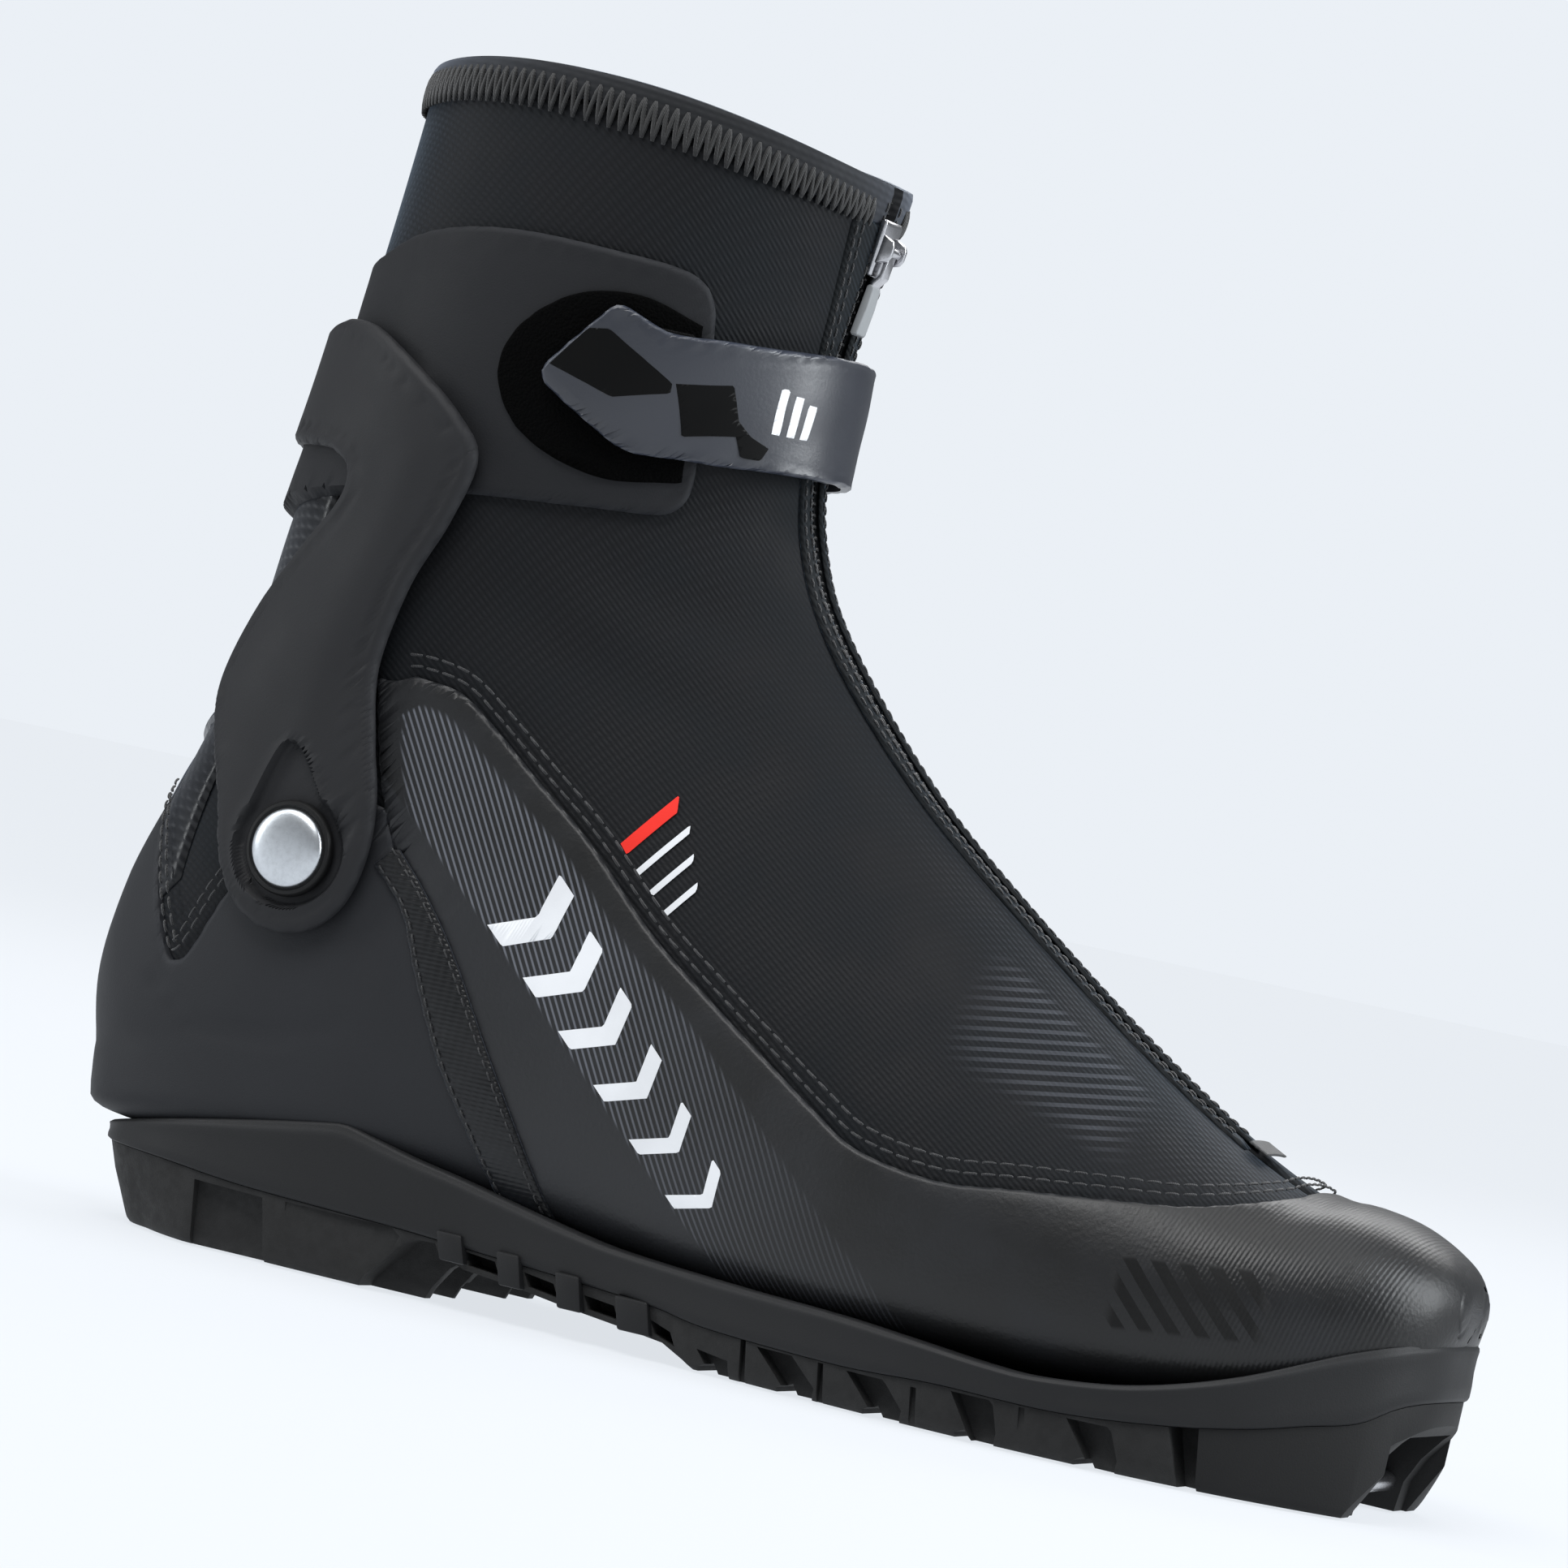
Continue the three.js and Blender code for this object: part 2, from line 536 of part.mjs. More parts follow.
// The toe block holds the steel bar that the binding's jaw closes on.
const BLOCK = [[115, 0], [138, 0], [151, 24], [151, 45], [109, 45]];
const underToe = sideCut([...below(raised(TOE_PARTING, -GAP))]);
const [BAR_X] = grade([135, 0]);
const JAW_ROOM = [[127, -5], [127, 10.5], [130, 13.5], [141, 15.5], [170, 22], [170, -5]];
const jaw = sideCut(JAW_ROOM, -JAW_WIDTH / 2, JAW_WIDTH / 2);
const barHalf = JAW_WIDTH / 2 + CHEEK_GRIP;
const barHole = rod(BAR_X, BAR_HEIGHT, BAR_RADIUS + BAR_CLEARANCE, -barHalf - GAP, barHalf + GAP);
const block = treadBody.intersect(sideCut(BLOCK)).intersect(underToe);
add(lower, "toe_binding_block", block.subtract(jaw).subtract(barHole), MOULDED);
add(lower, "binding_bar", rod(BAR_X, BAR_HEIGHT, BAR_RADIUS, -barHalf, barHalf), STEEL);

// ---- Cuff ---------------------------------------------------------------------------------
const collar = zippedWall.intersect(sideCut(above(COLLAR_FOOT)));
add(cuff, "collar_liner", collar.intersect(sideCut(below(raised(HEM_LINE, -GAP)))), SOFTSHELL);
add(cuff, "collar_hem", collar.intersect(sideCut(above(HEM_LINE))), WEBBING);

const WRAP = [
  [-160, 199], [-107, 202], [-97, 206], [-85, 208.5], [-70, 209.5], [-51, 209.5], [-38, 209],
  [-34, 206], [-33, 200], [-33, 170], [-34, 163], [-39, 160.5], [-53, 159.5], [-80, 157],
  [-110, 152], [-160, 148],
];
add(cuff, "cuff_wrap", panels.intersect(sideCut(WRAP)), MOULDED);

const PAD_OUTLINE = smooth([
  [-38, 199.8], [-46, 202], [-58, 200], [-68, 193], [-71, 184], [-68, 175], [-60, 169],
  [-48, 166.5], [-38, 167.6],
]);
const pads = layer(OVER_PANEL, PAD_OUT);
add(cuff, "closure_pad", pads.intersect(sideCut(PAD_OUTLINE, ...halfSpace(-1))), PAD);

const YOKE_FRONT = smooth([
  [-104, 187.5], [-97, 186.5], [-86, 180], [-75, 171], [-71, 164], [-76, 152], [-82, 137],
  [-85, 121], [-82, 106], [-79, 95],
], 2);
const YOKE_BACK = smooth([
  [-112, 88], [-118, 101], [-119.5, 112], [-115, 127], [-106, 142], [-98.5, 153], [-99, 160],
  [-106, 161.5],
], 2);
const yokeOutline = [[-160, 184], ...YOKE_FRONT, [-84, 84], [-106, 80], ...YOKE_BACK, [-160, 161]];
const armEnds = rod(PIVOT_X, PIVOT_Z, ARM_END_RADIUS, -WIDE, WIDE, 32);
const yoke = layer(YOKE_IN, YOKE_OUT).intersect(sideCut(yokeOutline).add(armEnds));
add(cuff, "cuff_yoke", yoke.subtract(pivotHole), MOULDED);

// ---- Pivots -------------------------------------------------------------------------------
const washerLayer = layer(OVER_PANEL, YOKE_IN - GAP);
const plateLayer = layer(FOOT_ROOM - 1.2, FOOT_ROOM);
for (const { name, sign } of SIDES) {
  const { point, normal } = sidePoint([PIVOT_X, PIVOT_Z], sign);
  const inside = FOOT_ROOM - 1.6;
  const reach = [point.y + sign * inside, point.y + sign * (YOKE_OUT - 1)];
  const [fromY, toY] = [Math.min(...reach), Math.max(...reach)];
  const shaft = rod(PIVOT_X, PIVOT_Z, SHAFT_RADIUS, fromY, toY);
  const sideDisc = rod(PIVOT_X, PIVOT_Z, WASHER_RADIUS, ...halfSpace(sign), 28);
  const ring = sideDisc.subtract(pivotHole);
  add(lower, "pivot_rivet_" + name, shaft, STEEL);
  add(lower, "pivot_washer_" + name, washerLayer.intersect(ring), SATIN_METAL);
  add(lower, "pivot_plate_" + name, plateLayer.intersect(ring), STEEL);

  const rim = CAP_RADIUS;
  const profile = [[0, 0], [rim, 0], [rim, 1], [rim - 0.8, 1.7], [rim * 0.6, 2.2], [0, CAP_HEIGHT]];
  const cap = new THREE.LatheGeometry(profile.map((p) => new THREE.Vector2(...p)), 28);
  cap.rotateX(Math.PI / 2);
  cap.applyQuaternion(new THREE.Quaternion().setFromUnitVectors(new THREE.Vector3(0, 0, 1), normal));
  const seat = point.clone().addScaledVector(normal, YOKE_OUT + GAP + 0.6);
  add(cuff, "pivot_cap_" + name, solidFrom(cap.translate(...seat.toArray())), SATIN_METAL);
}

// ---- Strap --------------------------------------------------------------------------------
const STRAP_MIDDLE = 186.5;
const strapTop = STRAP_MIDDLE + STRAP_WIDTH / 2 / kz;
const strapFoot = STRAP_MIDDLE - STRAP_WIDTH / 2 / kz;
const ANCHOR_FRONT = -51;
const ANCHOR_BACK = -66;
const TIP_HINGE = -33;
const STRAP_TIP = -62;
const straps = layer(STRAP_IN, STRAP_OUT);
const band = (from, to) => [[from, strapFoot], [to, strapFoot], [to, strapTop], [from, strapTop]];
const strapSolid = straps
  .intersect(sideCut(band(TIP_HINGE, 50), -WIDE, 5))
  .add(straps.intersect(sideCut(band(ANCHOR_FRONT, 50), 0, WIDE)));
add(strap, "strap_band", strapSolid, WEBBING);
const TIP_OUTLINE = [
  [TIP_HINGE - GAP, strapFoot], [TIP_HINGE - GAP, strapTop], [-49, strapTop], [STRAP_TIP, 186],
  [STRAP_TIP + 2, 181], [-48, strapFoot],
];
add(strap, "strap_tip", straps.intersect(sideCut(TIP_OUTLINE, ...halfSpace(-1))), WEBBING);
const hooks = layer(HOOK_IN, HOOK_IN + HOOK_PAD);
const HOOK_OUTLINE = [[-37, strapFoot + 2], [-37, strapTop - 2], [-48, strapTop - 2], [-58, 186],
  [-57, 182], [-47, strapFoot + 2]];
add(strap, "hook_pad", hooks.intersect(sideCut(HOOK_OUTLINE, ...halfSpace(-1))), PAD);
const anchor = layer(OVER_PANEL, STRAP_OUT);
const anchorCut = sideCut(band(ANCHOR_BACK, ANCHOR_FRONT - GAP), 0, WIDE);
add(cuff, "strap_anchor", anchor.intersect(anchorCut), MOULDED);

// ---- Zip slider, at the top of its straight upper run -------------------------------------
const ZIP_TOP = 18;
const zipTop = offsetPoint(ZIP_TOP, 0, GAP);
const zipDown = offsetPoint(16.5, 0, GAP).sub(zipTop).normalize();
const zipOut = new THREE.Vector3(-zipDown.z, 0, zipDown.x);
// A side-view profile of the zip: first along the track, then out from the chain.
function zipProfile(points, width) {
  const world = points.map(([down, out]) => {
    const p = zipTop.clone().addScaledVector(zipDown, down).addScaledVector(zipOut, out);
    return [p.x / kx, p.z / kz];
  });
  return sideCut(world, -width / 2, width / 2);
}
const sliderTop = GAP + SLIDER_WALL;
const sliderBody = zipProfile(
  [[0, GAP], [SLIDER_LENGTH, GAP], [SLIDER_LENGTH, sliderTop], [0, sliderTop]], SLIDER_WIDTH);

// The pull turns on a barrel between the slider's two ears, and lies behind the strap's edge.
const barrelAt = SLIDER_LENGTH / 2;
const barrelOut = sliderTop + GAP + BARREL_RADIUS;
const barrel = zipTop.clone().addScaledVector(zipDown, barrelAt).addScaledVector(zipOut, barrelOut);
const barrelRod = (radius, half) => rod(barrel.x, barrel.z, radius, -half, half, 12);
const earOuter = PULL_WIDTH / 2 + GAP + EAR_WALL;
const earBlank = zipProfile(
  [[barrelAt - 3, sliderTop - 0.4], [barrelAt - 1.6, barrelOut + 1.4],
    [barrelAt + 1.6, barrelOut + 1.4], [barrelAt + 3, sliderTop - 0.4]], 2 * earOuter);
const ears = earBlank
  .subtract(box(-WIDE, WIDE, -PULL_WIDTH / 2 - GAP, PULL_WIDTH / 2 + GAP, -WIDE, BOOT_HEIGHT * 2))
  .subtract(barrelRod(PIN_RADIUS + PIN_CLEARANCE, WIDE));
add(zip, "zip_slider", sliderBody.add(ears), STEEL);
const foldAt = SLIDER_LENGTH + 1;
const pullEnd = SLIDER_LENGTH + 12;
const pullPlate = zipProfile([
  [barrelAt, barrelOut - PULL_WALL / 2], [foldAt - 1.5, barrelOut - PULL_WALL / 2],
  [foldAt, PULL_DEPTH], [pullEnd, PULL_DEPTH], [pullEnd, PULL_DEPTH + PULL_WALL],
  [foldAt + 0.8, PULL_DEPTH + PULL_WALL], [foldAt - 0.8, barrelOut + PULL_WALL / 2],
  [barrelAt, barrelOut + PULL_WALL / 2],
], PULL_WIDTH);
const pullBarrel = barrelRod(BARREL_RADIUS, PULL_WIDTH / 2).add(barrelRod(PIN_RADIUS, earOuter));
add(zip, "zip_pull", pullPlate.add(pullBarrel), PULL_TAB);

// ---- Pull loop at the heel ----------------------------------------------------------------
const LOOP_OUTLINE = [[-160, 60], [-160, 88], [-143, 96], [-136, 96], [-132, 88], [-130, 60]];
const loops = layer(PANEL_IN, PANEL_IN + PANEL);
const loopCut = sideCut(LOOP_OUTLINE, -7, 7).subtract(counterRegion);
add(lower, "heel_pull_loop", loops.intersect(loopCut), WEBBING);

// The origin is at the middle of the box, on the floor.
boot.updateMatrixWorld(true);
const bounds = new THREE.Box3().setFromObject(boot, true);
const middle = bounds.getCenter(new THREE.Vector3());
boot.position.set(-middle.x, -middle.y, -bounds.min.z);

export default boot;
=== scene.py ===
"""Cross-country ski boot: the visible surfaces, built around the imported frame."""
import math

import bmesh
import bpy
import numpy as np
from mathutils import Matrix, Vector
from mathutils.geometry import delaunay_2d_cdt
from mathutils.kdtree import KDTree


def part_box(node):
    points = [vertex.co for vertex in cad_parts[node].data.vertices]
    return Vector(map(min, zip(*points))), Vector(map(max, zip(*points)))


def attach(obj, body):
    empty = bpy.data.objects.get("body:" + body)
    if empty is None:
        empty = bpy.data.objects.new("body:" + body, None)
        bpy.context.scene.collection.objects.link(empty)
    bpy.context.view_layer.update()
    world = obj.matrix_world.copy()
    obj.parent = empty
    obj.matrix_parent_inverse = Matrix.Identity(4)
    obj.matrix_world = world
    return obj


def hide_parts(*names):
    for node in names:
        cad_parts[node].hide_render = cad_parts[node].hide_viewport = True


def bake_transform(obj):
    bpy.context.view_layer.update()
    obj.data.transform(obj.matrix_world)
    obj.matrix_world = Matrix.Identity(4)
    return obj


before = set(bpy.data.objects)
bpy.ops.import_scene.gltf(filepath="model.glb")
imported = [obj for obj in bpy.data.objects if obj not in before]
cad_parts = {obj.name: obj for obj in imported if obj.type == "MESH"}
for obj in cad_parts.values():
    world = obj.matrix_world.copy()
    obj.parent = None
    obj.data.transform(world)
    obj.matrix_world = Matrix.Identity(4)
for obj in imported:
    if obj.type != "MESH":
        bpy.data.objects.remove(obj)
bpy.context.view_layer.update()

MM = 0.001
PI = math.pi


def middle(node):
    low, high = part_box(node)
    return (low + high) / 2


# The outlines below are drawn about the same point as the CAD design. The toe bar ties the two.
BAR_DRAWN = Vector((135, 0, 5.5))
ORIGIN = np.array(middle("binding_bar")) / MM - np.array(BAR_DRAWN)


def metres(points):
    return (np.asarray(points, float) + ORIGIN) * MM


# ---------------------------------------------------------------- the last
# One section: point on the front ridge, point at the back or under the foot, half widths
# (outer, inner), where it is widest, how square its front and back are, rise of its sides.
def station(front, back, half, widest, power, bow=0.0):
    return [*front, *back, *half, widest, *power, bow]


STATIONS = np.array([
    station((147, 46), (148, 37), (9, 9), 0.50, (2.2, 2.6)),
    station((143, 48.5), (144, 28), (18, 19), 0.55, (2.3, 3.0)),
    station((134, 51.5), (135, 21.5), (27, 29), 0.58, (2.3, 3.4)),
    station((119, 55), (119, 17), (35.5, 37), 0.60, (2.3, 3.6)),
    station((99, 63.5), (97, 14.5), (42.5, 42), 0.63, (2.1, 3.8)),
    station((74.5, 78), (70, 13.5), (46.5, 44), 0.66, (1.9, 4.0)),
    station((46.5, 97.5), (39, 13.5), (46, 42), 0.68, (1.75, 4.0)),
    station((22.5, 116), (8, 14.5), (42, 39.5), 0.64, (1.7, 4.0)),
    station((4, 134.5), (-28, 17.5), (38.5, 37), 0.58, (1.7, 3.8)),
    station((-8.5, 150), (-68, 19.5), (36.5, 36), 0.54, (1.8, 3.8)),
    station((-14.5, 163), (-108, 21), (36, 35.5), 0.52, (1.9, 3.6)),
    station((-17, 173.5), (-132, 27.5), (36, 35.5), 0.50, (2.0, 3.1)),
    station((-17.5, 183), (-143, 42), (36, 35.5), 0.48, (2.0, 2.7)),
    station((-17.5, 192), (-144, 64), (36, 35.5), 0.47, (2.1, 2.4)),
    station((-17.5, 200), (-137, 88), (37, 36.5), 0.47, (2.1, 2.3)),
    station((-16.5, 207.5), (-129, 114), (38, 37.5), 0.48, (2.1, 2.2)),
    station((-15.5, 215), (-124.5, 144), (39, 38.5), 0.49, (2.1, 2.2)),
    station((-14.5, 222), (-119.5, 174), (40, 39.5), 0.50, (2.1, 2.2)),
    station((-13.5, 228.5), (-115.5, 208), (41, 40.5), 0.50, (2.1, 2.2), 2.0),
    station((-12.5, 235), (-112.5, 241), (42, 41.5), 0.50, (2.1, 2.2), 6.0),
])
RIM = len(STATIONS) - 1.0
TOE = -1.0  # sections below 0 close the toe


def catmull(a, b, c, d, t):
    """From b to c on a Catmull-Rom curve through four values."""
    return b + 0.5 * t * (c - a + t * (2 * a - 5 * b + 4 * c - d + t * (3 * (b - c) + d - a)))


def rows_at(s):
    """The section's numbers at fractions of the way, by a Catmull-Rom curve."""
    s = np.clip(np.asarray(s, float), 0, RIM)
    i = np.minimum(s.astype(int), int(RIM) - 1)
    t = (s - i)[..., None]
    pick = lambda k: STATIONS[np.clip(k, 0, int(RIM))]
    return catmull(pick(i - 1), pick(i), pick(i + 1), pick(i + 2), t)


def surface(s, phi):
    """Points on the last, drawn mm. phi is 0 on the ridge, negative on the outer side."""
    s, phi = np.broadcast_arrays(np.asarray(s, float), np.asarray(phi, float))
    fx, fz, bx, bz, outer, inner, widest, fp, bp, bow = np.moveaxis(rows_at(s), -1, 0)
    c, sine = np.cos(phi), np.abs(np.sin(phi))
    power = np.where(c >= 0, fp, bp)
    reach = np.abs(c) ** (2 / power)
    h = np.where(c >= 0, widest * (1 - reach), widest + (1 - widest) * reach)
    side = np.where(np.sin(phi) < 0, -outer, inner)
    y = side * sine ** (2 / power)
    x, z = fx + (bx - fx) * h, fz + (bz - fz) * h + bow * sine ** 2
    close = np.clip(-s, 0, 1)
    mx, mz = (fx + bx) / 2, (fz + bz) / 2
    shrink = np.sqrt(np.clip(1 - close ** 2, 0, 1))
    x = mx + (x - mx) * shrink + 1.2 * close
    z = mz + (z - mz) * shrink
    return np.stack([x, y * shrink, z], -1)


def normals(s, phi):
    s, phi = np.broadcast_arrays(np.asarray(s, float), np.asarray(phi, float))
    d = 0.004
    along = surface(np.minimum(s + d, RIM), phi) - surface(np.maximum(s - d, TOE + 1e-3), phi)
    round_ = surface(s, phi + d) - surface(s, phi - d)
    n = np.cross(round_, along)
    n /= np.maximum(np.linalg.norm(n, axis=-1, keepdims=True), 1e-12)
    n[s < TOE + 0.02] = (1, 0, 0)
    return n


def skin(s, phi, offset):
    return surface(s, phi) + normals(s, phi) * np.asarray(offset, float)[..., None]


_S = np.linspace(0, RIM, 3001)
_ROWS = rows_at(_S)


def to_domain(points):
    """(s, phi) with phi from 0 to PI for drawn side-view points (x, z)."""
    found = []
    for x, z in points:
        tx, tz, bx, bz = _ROWS[:, 0], _ROWS[:, 1], _ROWS[:, 2], _ROWS[:, 3]
        dx, dz = bx - tx, bz - tz
        cross = dx * (z - tz) - dz * (x - tx)
        h = ((x - tx) * dx + (z - tz) * dz) / (dx * dx + dz * dz)
        flips = np.nonzero(cross[:-1] * cross[1:] <= 0)[0]
        if len(flips) == 0:
            flips = np.array([np.argmin(np.abs(cross))])
        k = flips[np.argmin(np.abs(h[flips] - 0.5))]
        span = cross[k] - cross[min(k + 1, len(_S) - 1)]
        f = cross[k] / span if abs(span) > 1e-12 else 0.0
        s = _S[k] + f * (_S[1] - _S[0])
        row = rows_at(s)
        hk = float(np.clip(h[k], 0, 1))
        if hk < row[6]:
            c = (1 - hk / row[6]) ** (row[7] / 2)
        else:
            c = -(((hk - row[6]) / (1 - row[6])) ** (row[8] / 2))
        found.append((s, math.acos(float(np.clip(c, -1, 1)))))
    return np.array(found)


def phi_at(s, y):
    """The front angle at a distance y from the ridge."""
    row = rows_at(s)
    half = np.where(np.asarray(y) < 0, row[..., 4], row[..., 5])
    return np.sign(y) * np.arcsin(np.minimum(np.abs(y) / half, 1) ** (row[..., 7] / 2))


def smooth(points, step=1.5):
    """A Catmull-Rom line through side-view points, sampled about every step mm."""
    p = np.array(points, float)
    p = np.vstack([2 * p[0] - p[1], p, 2 * p[-1] - p[-2]])
    out = []
    for a, b, c, d in zip(p, p[1:], p[2:], p[3:]):
        n = max(2, int(np.linalg.norm(c - b) / step))
        t = np.linspace(0, 1, n, endpoint=False)[:, None]
        out.append(catmull(a, b, c, d, t))
    return np.vstack([*out, p[-2:-1]])


def straight(points, step=1.5):
    out = []
    for a, b in zip(np.array(points[:-1], float), np.array(points[1:], float)):
        n = max(2, int(np.linalg.norm(b - a) / step))
        out.append(a + (b - a) * np.linspace(0, 1, n, endpoint=False)[:, None])
    return np.vstack([*out, np.array([points[-1]], float)])


# ---------------------------------------------------------------- meshes
def make(name, verts, faces, smooth_faces=True, extra=None):
    """A mesh object from drawn-mm vertices. Its rest place is kept for the materials."""
    mesh = bpy.data.meshes.new(name)
    mesh.from_pydata(metres(verts).tolist(), [], [list(map(int, f)) for f in faces])
    mesh.validate()
    if smooth_faces:
        mesh.shade_smooth()
    rest = mesh.attributes.new("rest", "FLOAT_VECTOR", "POINT")
    rest.data.foreach_set("vector", np.asarray(verts, np.float32).ravel())
    for key, values in (extra or {}).items():
        layer = mesh.attributes.new(key, "FLOAT", "POINT")
        layer.data.foreach_set("value", np.asarray(values, np.float32))
    obj = bpy.data.objects.new(name, mesh)
    bpy.context.scene.collection.objects.link(obj)
    return obj


def shade(obj, angle=40):
    """Smooth shading with sharp edges past an angle."""
    mesh = obj.data
    mesh.shade_smooth()
    mesh.set_sharp_from_angle(angle=math.radians(angle))
    return obj


def finish_piece(obj, material, slot, body, *nodes):
    obj.data.materials.clear()
    obj.data.materials.append(material)
    if nodes:
        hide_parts(*nodes)
    if body == "flex":
        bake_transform(obj)
    elif body == "peel":
        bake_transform(obj)
    else:
        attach(obj, body)
    return obj


def fuse(pieces, name):
    """Joins objects into the first of them, under a new name."""
    bpy.ops.object.select_all(action="DESELECT")
    for piece in pieces:
        piece.select_set(True)
    bpy.context.view_layer.objects.active = pieces[0]
    if len(pieces) > 1:
        bpy.ops.object.join()
    pieces[0].name = name
    return pieces[0]


def grid_faces(rows, columns, closed=False):
    i, j = np.meshgrid(np.arange(rows - 1), np.arange(columns if closed else columns - 1),
                       indexing="ij")
    a = i * columns + j
    b = i * columns + (j + 1) % columns
    return np.stack([a, b, b + columns, a + columns], -1).reshape(-1, 4)


def edit(obj, change):
    """Runs change on the object's mesh as a bmesh."""
    bm = bmesh.new()
    bm.from_mesh(obj.data)
    change(bm)
    bm.to_mesh(obj.data)
    bm.free()
    return obj


def orient(obj):
    return edit(obj, lambda bm: bmesh.ops.recalc_face_normals(bm, faces=bm.faces))


def thick_grid(name, outer, inner, edge=None):
    """A closed sheet between two grids of points of the same shape."""
    rows, columns = outer.shape[:2]
    n = rows * columns
    verts = np.vstack([outer.reshape(-1, 3), inner.reshape(-1, 3)])
    top = grid_faces(rows, columns)
    faces = [*top, *(top[:, ::-1] + n)]
    ring = [*range(columns), *range(2 * columns - 1, n, columns)]
    ring += [*range(n - 2, n - columns - 1, -1), *range(n - 2 * columns, 0, -columns)]
    for a, b in zip(ring, ring[1:] + ring[:1]):
        faces.append((b, a, a + n, b + n))
    extra = {} if edge is None else {"edge": np.concatenate([edge.ravel()] * 2)}
    return orient(make(name, verts, faces, extra=extra))


def resample(loop, step, closed=True):
    """Even spacing in mm along a line of (s, phi)."""
    loop = np.asarray(loop, float)
    if closed:
        loop = np.vstack([loop, loop[:1]])
    dense = [loop[:1]]
    for a, b in zip(loop, loop[1:]):
        dense.append(a + (b - a) * np.linspace(0, 1, 9)[1:, None])
    dense = np.vstack(dense)
    spots = surface(dense[:, 0], dense[:, 1])
    run = np.concatenate([[0], np.cumsum(np.linalg.norm(np.diff(spots, axis=0), axis=1))])
    n = max(8, int(round(run[-1] / step)))
    at = np.linspace(0, run[-1], n + 1)
    if closed:
        at = at[:-1]
    return np.stack([np.interp(at, run, dense[:, k]) for k in (0, 1)], -1)


def inset(line, distance, closed=True):
    """The line moved over the last's surface by a distance in mm, to its left in (s, phi)."""
    line = np.asarray(line, float)
    if closed:
        step = np.roll(line, -1, 0) - np.roll(line, 1, 0)
    else:
        step = np.gradient(line, axis=0)
    s, phi = line[:, 0], line[:, 1]
    d = 0.004
    js = (surface(np.minimum(s + d, RIM), phi) - surface(np.maximum(s - d, TOE), phi))
    js /= (np.minimum(s + d, RIM) - np.maximum(s - d, TOE))[:, None]
    jp = (surface(s, phi + d) - surface(s, phi - d)) / (2 * d)
    tangent = js * step[:, :1] + jp * step[:, 1:]
    tangent /= np.maximum(np.linalg.norm(tangent, axis=1, keepdims=True), 1e-9)
    n = np.cross(js, jp)
    n /= np.maximum(np.linalg.norm(n, axis=1, keepdims=True), 1e-9)
    left = np.cross(n, tangent)
    g11, g12, g22 = (js * js).sum(1), (js * jp).sum(1), (jp * jp).sum(1)
    r1, r2 = (js * left).sum(1), (jp * left).sum(1)
    det = np.maximum(g11 * g22 - g12 * g12, 1e-9)
    move = np.stack([(g22 * r1 - g12 * r2) / det, (g11 * r2 - g12 * r1) / det], -1)
    return line + np.asarray(distance, float).reshape(-1, 1) * move


def area_of(loop):
    a, b = loop, np.roll(loop, -1, 0)
    return 0.5 * float((a[:, 0] * b[:, 1] - b[:, 0] * a[:, 1]).sum())


def inside(loop, points):
    x, y = points[:, 0][:, None], points[:, 1][:, None]
    x0, y0 = loop[:, 0], loop[:, 1]
    x1, y1 = np.roll(x0, -1), np.roll(y0, -1)
    crosses = (y0 > y) != (y1 > y)
    at = x0 + (y - y0) * (x1 - x0) / np.where(y1 == y0, 1e-12, y1 - y0)
    return ((x < at) & crosses).sum(1) % 2 == 1


def distances(spots, targets):
    tree = KDTree(len(targets))
    for i, p in enumerate(targets):
        tree.insert(p, i)
    tree.balance()
    return np.array([tree.find(p)[2] for p in spots])


S_SCALE, P_SCALE = 13.0, 36.0  # mm per section and per radian, about


